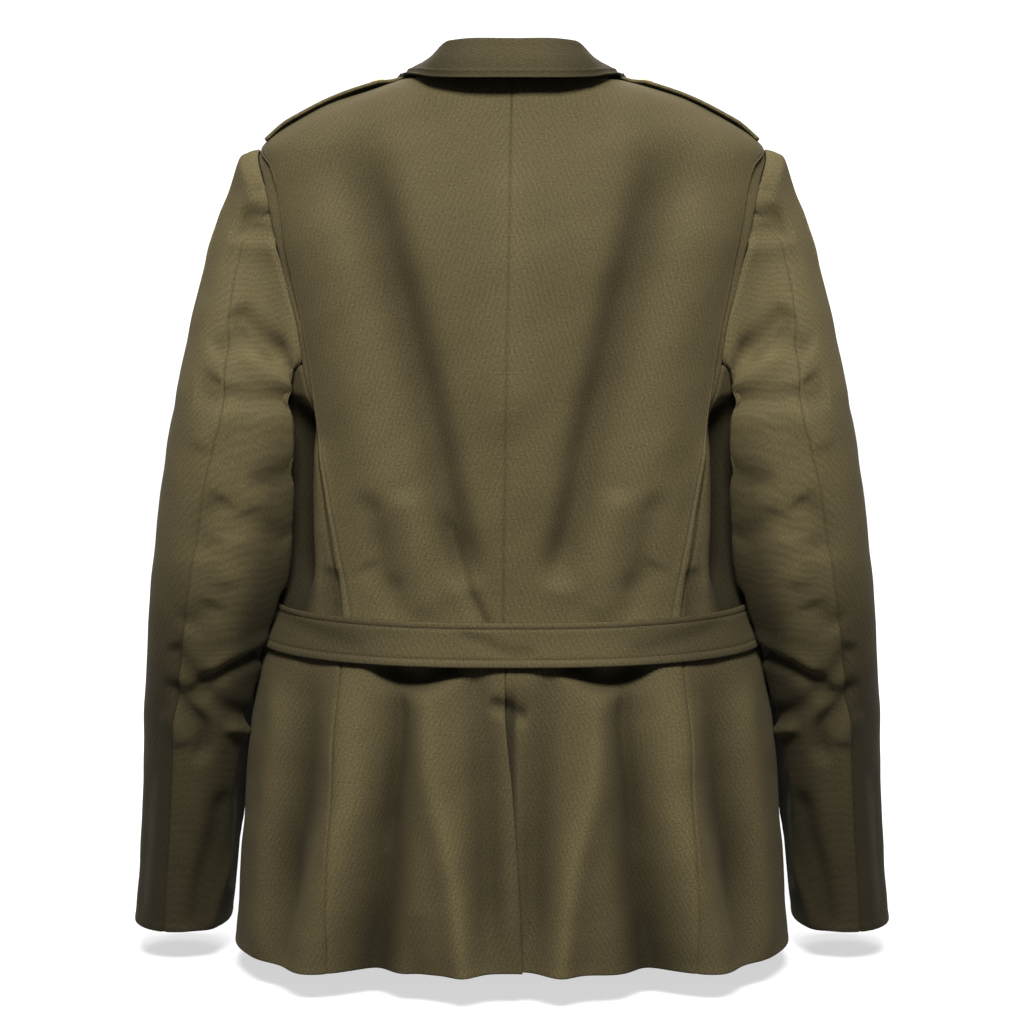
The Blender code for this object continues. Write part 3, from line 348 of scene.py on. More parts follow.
def along_path(across, up, path, rise, half_width, start=1.0):
    """Soft ridge or trough: a bell across the path, fading at both ends; it
    begins at a share of its full rise."""
    path = smooth(np.linspace(0, 1, len(path)), np.array(path), np.linspace(0, 1, 25))
    half_width = half_width * MM
    low, high = path.min(0) - 3 * half_width, path.max(0) + 3 * half_width
    near_it = (across > low[0]) & (across < high[0]) & (up > low[1]) & (up < high[1])
    total = np.zeros(np.shape(across))
    if not near_it.any():
        return total
    a, b = path[:-1], path[1:]
    p = np.stack([across[near_it], up[near_it]], -1)[:, None, :]
    t = np.clip(((p - a) * (b - a)).sum(-1) / np.maximum(((b - a) ** 2).sum(-1), 1e-12), 0, 1)
    gap = np.linalg.norm(p - a - t[..., None] * (b - a), axis=-1)
    near = gap.argmin(-1)
    where = (near + np.take_along_axis(t, near[:, None], -1)[:, 0]) / len(a)
    fade = step(0, 0.18, where) * step(0, 0.18, 1 - where) * (start + (1 - start) * step(0.0, 0.8, where))
    total[near_it] = rise * MM * fade * np.exp(-(gap.min(-1) / half_width) ** 2)
    return total


def folds(angle, height):
    """Rise of the worn cloth over the plain body. A row with side 0 lies on both sides."""
    angle, height = np.broadcast_arrays(np.asarray(angle, float), np.asarray(height, float))
    spread = 0.15
    total = np.zeros(angle.shape)
    for name, face, side, rise, half_width, path, *start in FOLDS:
        rows = np.array(path)
        turn = np.radians(angle_at(rows[:, 0], rows[:, 1], face)) * spread
        for sign in ((-1, 1) if side == 0 else (side,)):
            total += along_path(np.radians(sign * angle) * spread, height, np.stack([turn, rows[:, 1]], -1),
                                rise, half_width, *start)
    return total


def ripple(points, size=1.0):
    """Slight unevenness of cloth: a sum of five sine waves, 30 to 110 mm long, in differing directions."""
    total = 0.0
    for a, b, c, phase, amount in ((57, 21, 33, 0.4, 0.42), (-38, 60, 71, 2.1, 0.30), 
                                    (95, -40, 48, 4.0, 0.22),
                                   (130, 35, -88, 1.2, 0.16), (-74, 88, 160, 5.2, 0.12)):
        total = total + amount * np.sin(a * points[..., 0] + b * points[..., 1] + c * points[..., 2] + phase)
    return total * size * MM


def side_back_angle(height):
    """Angle of the side back seam."""
    return column(SIDE_BACK, height)


def seam_sink(angle, height):
    """The side back seam lies one layer down beside the pleat, and comes level
    at the underarm and below the belt."""
    depth = step(-0.240, -0.285, height) * (1 - step(-0.452, -0.482, height))
    away = (np.abs(angle) - side_back_angle(height)) / 6.0
    return -LAYER * depth * np.exp(-away ** 2)


def level_of(points):
    """How far outside the plain body's section each point is, as a share."""
    wide, deep, power = body_shape(np.clip(points[..., 2], BODY[0][0], 0.0), points[..., 1] < 0)
    across, through = np.abs(points[..., 0] / wide), np.abs(points[..., 1] / deep)
    return (across ** power + through ** power) ** (1 / power) - 1


def off_body(points):
    """Distance of points from the plain body and the way out of it: the level over its slope."""
    e = 2e-4
    value = level_of(points)
    slope = np.stack([(level_of(points + e * d) - level_of(points - e * d)) / (2 * e) for d in np.eye(3)], -1)
    size = np.maximum(np.linalg.norm(slope, axis=-1), 1e-6)
    return value / size, slope / size[..., None]


def pushed_out(points, margin):
    """Points moved out until they clear the body by the margin."""
    for _ in range(4):
        gap, way = off_body(points)
        points = points + way * np.maximum(margin - gap, 0)[..., None]
    return points


# ---------------------------------------------------------------- a cut piece of cloth
EDGES = {
    # kind: distances from the edge that carry its detail, in mm
    "seam": (0.0, 0.5, 1.1, 1.9, 3.2, 5.2),
    "fold": (0.0, 0.35, 0.8, 1.5, 3.0, 5.0),
    "stitched": (0.0, 0.35, 0.8, 1.5, 3.0, 4.4, 5.2, 6.0, 6.8, 7.6, 9.5),
    "plain": (0.0, 1.5, 4.0),
}


def ruler(length, low, high, pitch):
    """Shares along one line of a piece: fine steps beside each edge and even ones between."""
    a = np.array(EDGES[low]) * MM
    b = np.array(EDGES[high]) * MM
    middle = max(length - a[-1] - b[-1], 0.2 * length)
    count = max(int(round(middle / pitch)), 2)
    steps = np.linspace(0, 1, count + 1)[1:-1]
    return np.concatenate([a, a[-1] + steps * (length - a[-1] - b[-1]), length - b[::-1]]) / length


def coons(left, right, bottom, top, u, v):
    """Blend of four edges, each a function of its share: left plus right plus
    bottom plus top, less the corners."""
    one = np.ones(1)
    zero = np.zeros(1)
    c00, c10, c01, c11 = left(zero)[0], right(zero)[0], left(one)[0], right(one)[0]
    U, V = u[..., None], v[..., None]
    return ((1 - U) * left(v) + U * right(v) + (1 - V) * bottom(u) + V * top(u)
            - (1 - U) * (1 - V) * c00 - U * (1 - V) * c10 - (1 - U) * V * c01 - U * V * c11)


class Cut:
    """A piece's grid of angles and heights, with each point's distance in from
    its left, right, lower and upper edge."""

    def __init__(self, edges, kinds, pitch):
        share = np.linspace(0, 1, 41)
        rough = coons(*edges, *np.broadcast_arrays(share[None, :], share[:, None]))
        solid = section(rough[..., 0], rough[..., 1])
        wide, tall = lengths(solid, 1)[:, -1], lengths(solid, 0)[-1]
        across, up = ruler(wide.max(), *kinds[:2], pitch), ruler(tall.max(), *kinds[2:], pitch)
        width, height = np.interp(up, share, wide)[:, None], np.interp(across, share, tall)
        self.kinds = kinds
        self.u = self.fitted(across * wide.max(), wide.max(), width[:, 0], *kinds[:2])
        v = self.fitted(up * tall.max(), tall.max(), height, *kinds[2:]).T
        grid = coons(*edges, self.u, v)
        self.angle, self.height = grid[..., 0], grid[..., 1]
        self.away = (self.u * width, (1 - self.u) * width, v * height, (1 - v) * height)

    @staticmethod
    def fitted(places, full, sizes, low, high):
        """Rows of shares: the edge bands keep their widths and only the middle stretches."""
        a, b = EDGES[low][-1] * MM, EDGES[high][-1] * MM
        rows = []
        for size in sizes:
            scale = (size - a - b) / max(full - a - b, 1e-9)
            if scale < 0.15:
                rows.append(places / full)
                continue
            middle = a + (places - a) * scale
            far = np.where(places >= full - b, size - full + places, middle)
            rows.append(np.where(places <= a, places, far) / size)
        return np.array(rows)


def edge_rise(kind, away):
    """Height of the cloth beside an edge, in metres: a seam sinks into a groove, a folded edge rounds over,
    and a line of stitching draws the cloth in six millimetres from the edge."""
    d = away / MM
    if kind == "seam":
        return MM * (-1.10 * np.exp(-(d / 1.2) ** 2) + 0.25 * np.exp(-((d - 4.0) / 3.0) ** 2))
    rounded = -0.9 * (1 - np.sqrt(np.clip(1 - (1 - np.clip(d / 1.0, 0, 1)) ** 2, 0, 1)))
    if kind == "fold":
        return MM * (rounded + 0.35 * np.exp(-((d - 2.0) / 2.5) ** 2))
    if kind == "stitched":
        return MM * (rounded + 0.55 * np.exp(-((d - 3.0) / 2.0) ** 2) - 0.70 * np.exp(-((d - 6.0) / 0.9) ** 2)
                     + 0.25 * np.exp(-((d - 9.0) / 2.5) ** 2))
    return np.zeros_like(d)


def pucker(kind, away, along):
    """Small even gathers beside sewn edges, fading within a centimetre."""
    if kind not in ("seam", "stitched"):
        return 0.0 * away
    wave = np.sin(along / MM * 0.62) + 0.6 * np.sin(along / MM * 0.37 + 1.3)
    return 0.10 * MM * wave * np.exp(-(away / (7 * MM)) ** 2) * step(0.4 * MM, 2.5 * MM, away)


def cut_rise(cut):
    """Rise of the cloth beside all four edges of a piece."""
    along = (cut.away[2], cut.away[2], cut.away[0], cut.away[0])
    return sum(edge_rise(kind, away) + pucker(kind, away, run)
               for kind, away, run in zip(cut.kinds, cut.away, along))


def grid_normals(face):
    """Way out of a grid: along its rows crossed with up its columns."""
    return unit(np.cross(np.gradient(face, axis=1), np.gradient(face, axis=0)))


def shell_mesh(name, face, back, flat_uv, wear):
    """Closed sheet of cloth: the outer grid, the inner grid, and a rim that joins their edges."""
    rows, cols = face.shape[:2]
    index = np.arange(rows * cols).reshape(rows, cols)
    outer = np.stack([index[:-1, :-1], index[:-1, 1:], index[1:, 1:], index[1:, :-1]], -1).reshape(-1, 4)
    rim = np.concatenate([index[0, :], index[1:, -1], index[-1, -2::-1], index[-2:0:-1, 0]])
    onward = np.roll(rim, -1)
    wall = np.stack([onward, rim, rim + rows * cols, onward + rows * cols], -1)
    quads = np.concatenate([outer, outer[:, ::-1] + rows * cols, wall])
    points = np.concatenate([face.reshape(-1, 3), back.reshape(-1, 3)])
    p = points[quads]
    flux = (np.cross(p[:, 2] - p[:, 0], p[:, 3] - p[:, 1]) * (p.mean(1) - points.mean(0))).sum()
    quads = quads if flux >= 0 else quads[:, ::-1]
    mesh = bpy.data.meshes.new(name)
    mesh.vertices.add(len(points))
    mesh.vertices.foreach_set("co", points.astype(np.float32).ravel())
    mesh.loops.add(quads.size)
    mesh.loops.foreach_set("vertex_index", quads.astype(np.int32).ravel())
    mesh.polygons.add(len(quads))
    mesh.polygons.foreach_set("loop_start", np.arange(0, quads.size, 4, dtype=np.int32))
    mesh.polygons.foreach_set("use_smooth", np.ones(len(quads), bool))
    mesh.update(calc_edges=True)
    both = np.tile(flat_uv.reshape(-1, 2), (2, 1))
    mesh.uv_layers.new(name="cloth").data.foreach_set("uv", both[quads.ravel()].astype(np.float32).ravel())
    # Painted light and shade per point, stored for the cloth material, which scales its colour by it.
    shading_layer = mesh.attributes.new("wear", "FLOAT", "POINT")
    shading_layer.data.foreach_set("value", np.tile(np.clip(wear, -3, 1).astype(np.float32).ravel(), 2))
    mesh.validate()
    return mesh


def lengths(face, axis):
    """Distance of each point of a grid from its first edge, along the rows (1) or up the columns (0)."""
    gaps = np.linalg.norm(np.diff(face, axis=axis), axis=-1)
    return np.concatenate([np.zeros_like(gaps.take([0], axis)), np.cumsum(gaps, axis)], axis)


def flat_lengths(face):
    """Distance along each row and each column, in metres, so a weave keeps its size on the cloth."""
    u = lengths(face, 1)
    return np.stack([u - u[:, -1:] / 2, lengths(face, 0)], -1)


def finish_piece(obj, replaced):
    """Link a piece, seat it on the tunic's one body and hide the solids it stands for."""
    bpy.context.scene.collection.objects.link(obj)
    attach(obj, "root")
    if replaced:
        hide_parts(*replaced)
    return obj


def cloth_piece(name, face, back, replaced, rests_on, held="stretched", tint=0.0, wear=None):
    """Object of one sheet of cloth, its weave laid on its flat lengths."""
    wear = np.zeros(face.shape[:2]) if wear is None else wear
    mesh = shell_mesh(name, face, back, flat_lengths(face), wear)
    obj = bpy.data.objects.new(name, mesh)
    mesh.materials.append(gabardine(name, tint))
    finish_piece(obj, replaced)
    mid = (face + back) / 2
    width, length = float(lengths(mid, 1)[:, -1].max()), float(lengths(mid, 0)[-1].max())
    return obj


def half_piece(name, node, side, face, back, rests_on, **looks):
    """Piece on one side of the tunic, from points worked out on its right side."""
    word = WORDS[side]
    cloth_piece(f"{name}_{word}", mirrored(face, side), mirrored(back, side), [f"{node}_{word}"],
                [below if below == MOUNT else f"{below}_{word}" for below in rests_on], **looks)


def mirrored(points, side):
    """Points on their own side, from points on the right side."""
    return points * np.array((side, 1, 1))


def worn(cut, side=1):
    """Painted shading of a piece cut on the body: its folds' rise over eleven millimetres, ridges painted
    lighter and troughs darker.
    """
    return folds(side * cut.angle, cut.height) / (11 * MM)


def faces_of(cut, lift, wall, side=1):
    """Outer and inner points of a piece cut on the body, on the right side of it: the body's section,
    moved out by the folds, the ripple, the layer's lift and the edges' own rise."""
    out, base = outward(cut.angle, cut.height), section(cut.angle, cut.height)
    rise = folds(side * cut.angle, cut.height) + ripple(mirrored(base, side)) + lift + cut_rise(cut)
    face = base + out * rise[..., None]
    return face, face - out * wall


# ---------------------------------------------------------------- materials
def graph(name, shader, *rows):
    """Procedural material from a table of nodes that ends in the shader. A row holds a node's name, its
    type and its values by input; "node.output" is a wire from an earlier row, and a lower-case name is a
    setting."""
    if name in bpy.data.materials:
        return bpy.data.materials[name]
    material = bpy.data.materials.new(name)
    material.use_nodes = True
    tree = material.node_tree
    made = {"shader": tree.nodes["Principled BSDF"]}
    for key, kind, values in (*rows, ("shader", "", shader)):
        node = made[key] if key in made else made.setdefault(key, tree.nodes.new("ShaderNode" + kind))
        for place, value in values.items():
            if isinstance(value, str) and "." in value:
                source, output = value.split(".")
                tree.links.new(made[source].outputs[output], node.inputs[place])
            elif place == "stops":
                for stop, (spot, color) in zip(node.color_ramp.elements, value):
                    stop.position, stop.color = spot, (*color, 1.0)
            elif isinstance(place, str) and place.islower():
                setattr(node, place, value)
            else:
                node.inputs[place].default_value = value
    return material


def gabardine(name, tint=0.0):
    """Olive twill: fine diagonal ribs on the cloth's own flat lengths, slight mottling and a soft fuzz; the
    wear attribute scales the colour, as painted light on ridges and painted shade in hollows, creases and
    shaded places, and the tint shifts a piece's colour (the collar's and side bodies' tint is painted shade)."""
    sizes = bpy.context.scene.tunic_cloth
    base = np.array(sizes.color[:3])
    multiply = {"data_type": "RGBA", "blend_type": "MULTIPLY"}
    return graph(
        "gabardine_" + name,
        {"Roughness": 0.88, "Sheen Weight": 0.02, "Sheen Roughness": 0.55,
         "Sheen Tint": (0.85, 0.80, 0.62, 1.0),
         "Specular IOR Level": 0.12, "Base Color": "faded.Result", "Normal": "bump_soft.Normal"},
        ("place", "TexCoord", {}),
        ("turn", "Mapping", {"Rotation": (0, 0, math.radians(-27)), "Vector": "place.UV"}),
        ("rib", "TexWave", {"wave_type": "BANDS", "Scale": 0.159 / sizes.rib, "Distortion": 1.2,
                            "Detail": 2.0,
                            "Detail Scale": 1.5, "Vector": "turn.Vector"}),
        ("grain", "TexNoise", {"Scale": 1400.0, "Detail": 3.0, "Vector": "place.UV"}),
        ("speck", "TexNoise", {"Scale": 620.0, "Detail": 2.0, "Vector": "place.UV"}),
        ("patch", "TexNoise", {"Scale": 26.0, "Detail": 4.0, "Roughness": 0.6, "Vector": "place.Object"}),
        ("soft", "TexNoise", {"Scale": 95.0, "Detail": 2.0, "Vector": "place.Object"}),
        ("mottle", "ValToRGB", {"stops": ((0.30, base * (0.965 + tint)), (0.72, base * (1.035 + tint))),
                                "Fac": "patch.Fac"}),
        ("shade", "MapRange", {"From Min": 0.25, "From Max": 0.75, "To Min": 0.52, "To Max": 1.48,
                               "Value": "speck.Fac"}),
        ("lines", "Math", {"operation": "MULTIPLY_ADD", 0: "rib.Fac", 1: 0.16, 2: 0.92}),
        ("woven", "Math", {"operation": "MULTIPLY", 0: "shade.Result", 1: "lines.Value"}),
        ("threads", "Mix", {**multiply, "Factor": 0.75, "A": "mottle.Color", "B": "woven.Value"}),
        # Painted light and shade: the per-point wear attribute is mapped to a factor and multiplied into the
        # colour in the node named faded.
        ("wear", "Attribute", {"attribute_name": "wear"}),
        ("fade", "MapRange", {"From Min": -3.0, "To Min": 1.0 - 3.0 * sizes.wear, "To Max": 1.0 + sizes.wear,
                              "Value": "wear.Fac"}),
        ("faded", "Mix", {**multiply, "Factor": 1.0, "A": "threads.Result", "B": "fade.Result"}),
        ("bump_rib", "Bump", {"Strength": 0.5, "Distance": 0.00012, "Height": "rib.Fac"}),
        ("bump_grain", "Bump", {"Strength": 0.4, "Distance": 0.00015, "Height": "grain.Fac",
                                "Normal": "bump_rib.Normal"}),
        ("bump_soft", "Bump", {"Strength": 0.5, "Distance": 0.0006, "Height": "soft.Fac",
                               "Normal": "bump_grain.Normal"}))


def thread_material():
    """Sewing thread: the cloth's colour, lighter and darker along its twist."""
    base = np.array(bpy.context.scene.tunic_cloth.color[:3])
    return graph("sewing_thread", {"Roughness": 0.6, "Base Color": "ply.Color"},
                 ("place", "TexCoord", {}),
                 ("twist", "TexNoise", {"Scale": 900.0, "Vector": "place.Object"}),
                 ("ply", "ValToRGB", {"stops": ((0.0, base * 0.75), (1.0, base * 1.25)), "Fac": "twist.Fac"}))


def brass():
    """Aged brass: darker and rougher in patches."""
    return graph("aged_brass", {"Metallic": 1.0, "Base Color": "tone.Color", "Roughness": "rough.Result"},
                 ("place", "TexCoord", {}),
                 ("rub", "TexNoise", {"Scale": 220.0, "Detail": 5.0, "Vector": "place.Object"}),
                 ("tone", "ValToRGB", {"stops": ((0.35, (0.30, 0.19, 0.06)), (0.70, (0.60, 0.42, 0.16))),
                                       "Fac": "rub.Fac"}),
                 ("rough", "MapRange", {"To Min": 0.45, "To Max": 0.25, "Value": "rub.Fac"}))


# ---------------------------------------------------------------- edges of the cut pieces on the body
def pair(angle, height):
    """Grid of (angle, height)."""
    angle, height = np.broadcast_arrays(np.asarray(angle, float), np.asarray(height, float))
    return np.stack([angle, height], -1)


def hem_height(angle):
    """The hem drops with the square of the sine of the angle, most at the flanks."""
    return HEM - HEM_DROP * np.sin(np.radians(angle)) ** 2


def skirt_line(angle_of):
    """Lengthwise edge from hem to waist, for a share of the way up."""
    def at(v):
        height = HEM + (WAIST - HEM) * v
        for _ in range(3):
            height = hem_height(angle_of(height)) * (1 - v) + WAIST * v
        return pair(angle_of(height), height)
    return at


def pleat_fold_angle(height):
    """Angle of the back's folded edge, always just short of the side back seam."""
    fold = column(PLEAT_FOLD, height)
    return np.where(height < -0.235, np.minimum(fold, side_back_angle(height) - 0.45), fold)


def arm_rise(share, power):
    """Share of the way up the armhole, with the points drawn together toward its top."""
    return 1 - (1 - np.clip(share, 0, 1)) ** power


def outer_back_line(v):
    """Side back seam from the waist to the underarm, then the armhole's edge up to the shoulder."""
    height = np.where(v < BACK_LOW, WAIST + (UNDERARM - WAIST) * v / BACK_LOW,
                      UNDERARM + (SHOULDER - UNDERARM) * arm_rise((v - BACK_LOW) / (1 - BACK_LOW), 1.45))
    return pair(np.where(height < UNDERARM, side_back_angle(height), column(ARMHOLE_BACK, height)), height)


def fold_line(v):
    """Folded outer edge of an upper back."""
    edge = outer_back_line(v)
    height = edge[..., 1] + 0.0032 * step(-0.075, -0.058, edge[..., 1])
    return pair(pleat_fold_angle(height), height)


def under_line(v):
    """Hidden edge of the pleat, in under the back."""
    fold = fold_line(v)
    hidden = np.degrees(PLEAT_HIDDEN / 0.19) * (1 - 0.7 * step(-0.075, -0.056, fold[..., 1]))
    return pair(fold[..., 0] - hidden,
                fold[..., 1])


def straight(a, b):
    """Straight edge between two (angle, height) corners."""
    return lambda u: pair(a[0] + (b[0] - a[0]) * u, a[1] + (b[1] - a[1]) * u)


def back_edges(side):
    """Four edges of an upper back: centre seam, fold, waist, and the neck and shoulder."""
    def centre(v):
        height = np.where(v < BACK_LOW, WAIST + (UNDERARM - WAIST) * v / BACK_LOW,
                          -0.235 + 0.234 * arm_rise((v - BACK_LOW) / (1 - BACK_LOW), 1.2))
        return pair(np.degrees(np.arctan2(column(CENTRE_SEAM, height) * side, body_shape(height)[1])), height)

    def top(u):
        neck, out = np.clip(u / 0.62, 0, 1), np.clip((u - 0.62) / 0.38, 0, 1)
        end = fold_line(np.ones(1))[0]
        angle = np.where(u < 0.62, 95.0 * neck, 95 + (end[0] - 95) * out)
        return pair(angle, -0.001 + (end[1] + 0.001) * out)

    bottom = straight((centre(np.zeros(1))[0][0], WAIST), (fold_line(np.zeros(1))[0][0], WAIST))
    return centre, fold_line, bottom, top


def vent_line(side):
    """Centre edge of a back skirt; the right one runs on twelve degrees under
    the left below the vent's top."""
    plain = skirt_line(lambda h: np.degrees(np.arctan2(column(VENT_EDGE, h) * side, body_shape(h)[1])))

    def passing_under(v):
        edge = plain(v)
        edge[..., 0] -= step(-0.523, -0.570, edge[..., 1]) * 12.0
        return edge
    return plain if side == -1 else passing_under


def chest_line(angle_of, top):
    """Lengthwise edge from the waist up to a height."""
    return lambda v: pair(angle_of(WAIST + (top - WAIST) * v), WAIST + (top - WAIST) * v)


def flank(height):
    """Side front seam, straight down the flank."""
    return 0 * height + SIDE_FRONT


def hem_line(a, b):
    """Hem from one angle to another."""
    return lambda u: pair(a + (b - a) * u, hem_height(a + (b - a) * u))


def joined(first, second, share):
    """One edge out of two, the first for the lower share of the way."""
    def at(v):
        v = np.asarray(v, float)
        low = first(np.clip(v / share, 0, 1))
        high = second(np.clip((v - share) / (1 - share), 0, 1))
        return np.where((v < share)[..., None], low, high)
    return at


# ---------------------------------------------------------------- pieces
def make_backs():
    """Two upper backs: each a patch blended from its four edges, carried to the body's section."""
    sizes = bpy.context.scene.tunic_cloth
    for side, _ in SIDES:
        cut = Cut(back_edges(side), ("seam", "stitched", "seam", "seam"), sizes.pitch)
        face, back = faces_of(cut, 0.0, sizes.wall, side)
        # Painted shading: the folds' painted shading, with the upper back painted darker and the back below
        # the shoulder blades painted lighter, as the light falls.
        half_piece("upper_back", "back", side, face, back, [MOUNT],
                   wear=1.3 * worn(cut, side) - 0.5 + 1.1 * step(-0.14, -0.36, cut.height))
        sew(cut, 1, face, side)


def make_pleats():
    """Strips one layer down under the backs' folds, coming level with the seam at their outer edge."""
    sizes = bpy.context.scene.tunic_cloth
    bottom = straight(under_line(np.zeros(1))[0], outer_back_line(np.zeros(1))[0])
    top = straight(under_line(np.ones(1))[0], outer_back_line(np.ones(1))[0])
    cut = Cut((under_line, outer_back_line, bottom, top), ("plain", "seam", "seam", "seam"), sizes.pitch)
    fold = pleat_fold_angle(cut.height)
    outer = np.where(cut.height < UNDERARM, side_back_angle(cut.height), column(ARMHOLE_BACK, cut.height))
    beyond = np.clip((cut.angle - fold) / np.maximum(outer - fold, 0.4), 0, 1)
    lift = -LAYER + (seam_sink(outer, cut.height) + LAYER) * beyond
    for side, _ in SIDES:
        # Painted shading from the strip's folds; the strip is also tinted slightly darker.
        half_piece("action_pleat", "pleat", side, *faces_of(cut, lift, sizes.wall), ["back"], tint=-0.06,
                   wear=worn(cut))


def make_sides():
    """Side bodies from underarm to hem; the whole piece is tinted darker as painted shade, and the hollow
    behind the sleeve is painted dark as a painted shadow.
    """
    sizes = bpy.context.scene.tunic_cloth
    rear = joined(skirt_line(side_back_angle), chest_line(side_back_angle, UNDERARM), 0.55)
    fore = joined(skirt_line(flank), chest_line(flank, FLANK_TOP), 0.55)
    head = lambda u: pair(column(ARMHOLE_UNDER, u, 2), column(ARMHOLE_UNDER, u, 1))
    edges = (rear, fore, hem_line(rear(np.zeros(1))[0][0], SIDE_FRONT), head)
    cut = Cut(edges, ("seam", "seam", "fold", "seam"), sizes.pitch)
    face, back = faces_of(cut, seam_sink(cut.angle, cut.height), sizes.wall)
    # Painted shadow: the hollow behind the sleeve, between the underarm and the belt and out at the flank.
    recess_shade = (step(-0.25, -0.30, cut.height) * step(-0.455, -0.44, cut.height)
              * step(0.160, 0.175, face[..., 0]))
    for side, _ in SIDES:
        # Painted shade: the -0.20 tint darkens the whole side body; its folds' painted shading is raised 2.2
        # times, less the painted shadow in the hollow.
        half_piece("side_body", "side", side, face, back, ["front"], tint=-0.20,
                   wear=2.2 * worn(cut) - 3.0 * recess_shade)


def make_skirts():
    """Back skirts from waist to hem; the right one passes a layer and a half
    under the left below the vent's top."""
    sizes = bpy.context.scene.tunic_cloth
    for side, _ in SIDES:
        inner, outer = vent_line(side), skirt_line(side_back_angle)
        foot = hem_line(inner(np.zeros(1))[0][0], outer(np.zeros(1))[0][0])
        head = straight(inner(np.ones(1))[0], outer(np.ones(1))[0])
        kinds = ("seam" if side == 1 else "fold", "seam", "fold", "seam")
        cut = Cut((inner, outer, foot, head), kinds, sizes.pitch)
        vent = step(-0.490, -0.512, cut.height) * (1 - step(4.0, 12.0, cut.angle)) * (side == 1)
        face, back = faces_of(cut, seam_sink(cut.angle, cut.height) - 1.5 * LAYER * vent, sizes.wall, side)
        # Painted shading: the folds' painted shading, the skirt painted a little darker overall and darker
        # again near the hem, and a painted shadow along the right skirt's edge at the vent, under the left
        # skirt.
        half_piece("back_skirt", "skirt", side, face, back, ["side"],
                   wear=1.4 * worn(cut, side) - 0.35 - 0.6 * step(-0.66, -0.73, cut.height)
                   - 2.6 * vent * (1 - step(0.3, 2.4, cut.angle)))


def front_edges():
    """Four edges of a front: flank and armhole, centre edge and roll line, hem, shoulder."""
    edge_of = lambda h: 180 + np.degrees(FRONT_LAP / body_shape(h, False)[1])
    a, b = 7 / 22, 13 / 22
    arm = lambda v: pair(column(ARMHOLE_FRONT, v, 2), column(ARMHOLE_FRONT, v, 1))
    outer = joined(skirt_line(flank), joined(chest_line(flank, FLANK_TOP), arm, (b - a) / (1 - a)), a)
    start = edge_of(np.array(UNDERARM)) - 180
    roll = lambda v: pair(column(ROLL, v, 2) + start * (1 - v) ** 2, column(ROLL, v, 1))
    inner = joined(skirt_line(edge_of), joined(chest_line(edge_of, UNDERARM), roll, (b - a) / (1 - a)), a)
    head = lambda u: pair(91 + 4 * u, SHOULDER + 0.057 * u)
    return outer, inner, hem_line(SIDE_FRONT, inner(np.zeros(1))[0][0]), head


def front_lift(angle, side):
    """The left front rises one layer where it laps over the right."""
    return LAYER * step(158, 172, angle) if side == -1 else 0.0 * angle


def make_fronts():
    """Fronts from shoulder to hem, the left raised one layer where it laps over the right."""
    sizes = bpy.context.scene.tunic_cloth
    cut = Cut(front_edges(), ("seam", "stitched", "fold", "seam"), sizes.pitch * 1.3)
    for side, _ in SIDES:
        face, back = faces_of(cut, front_lift(cut.angle, side), sizes.wall)
        # Painted shading from the front's folds.
        half_piece("tunic_front", "front", side, face, back, [MOUNT], wear=worn(cut))
        sew(cut, 1, face, side)


def make_lapels():
    """Lapels on the chest: from the roll line out by the table's reach and
    drop, with a soft swell between."""
    sizes = bpy.context.scene.tunic_cloth
    start = np.degrees(FRONT_LAP / 0.122)
    for side, _ in SIDES:
        first = 0.06 if side == -1 else 0.30

        def spot(u, v):
            share = first + (0.80 - first) * v
            reach, drop = column(LAPEL, share), column(LAPEL, share, 2)
            reach = reach * (step(0.10, 0.50, share) if side == 1 else 1.0)
            return pair(column(ROLL, share, 2) + start * (1 - share) ** 2 - u * np.maximum(reach, 1.5),
                        column(ROLL, share, 1) - u * drop)

        edges = (lambda v: spot(0.0, v), lambda v: spot(1.0, v), lambda u: spot(u, 0.0 * u),
                 lambda u: spot(u, 0.0 * u + 1))
        cut = Cut(edges, ("fold", "stitched", "fold", "stitched"), sizes.pitch)
        lift = front_lift(cut.angle, side) + sizes.wall + (0.7 + 2.0 * np.sin(np.pi * cut.u ** 0.6)) * MM
        face, back = faces_of(cut, lift, sizes.wall)
        half_piece("turned_lapel", "lapel", side, face[:, ::-1], back[:, ::-1], ["front"], held="folded")
        sew(cut, 1, face, side)


def make_pockets():
    """Pockets and flaps: level patches on the front, each one or two walls out;
    the flap's top lies on the front."""
    sizes = bpy.context.scene.tunic_cloth
    stride = (180 + np.degrees(FRONT_LAP / 0.128) - SIDE_FRONT) / 11
    level = lambda share: HEM - 0.006 + (WAIST - HEM + 0.006) * share
    right, layer = SIDE_FRONT + 7 * stride, sizes.wall + 0.8 * MM
    for side, _ in SIDES:
        for name, node, low, high, left, layers in (
                ("patch_pocket", "pocket", level(0.17), level(0.78), SIDE_FRONT + stride, 1),
                ("pocket_cover", "pocket_flap", level(0.65), level(0.88), SIDE_FRONT, 2)):
            edges = (straight((left, low), (left, high)), straight((right, low), (right, high)),
                     straight((left, low), (right, low)), straight((left, high), (right, high)))
            cut = Cut(edges, ("stitched", "stitched", "stitched", "fold"), sizes.pitch)
            lift = layer * (layers - (layers - 1) * step(level(0.78), level(0.88), cut.height))
            face, back = faces_of(cut, lift, sizes.wall)
            half_piece(name, node, side, face, back, ["front"], held="laid", tint=0.03 * (layers - 1))
            for edge in (0, 1, 2):
                sew(cut, edge, face, side)


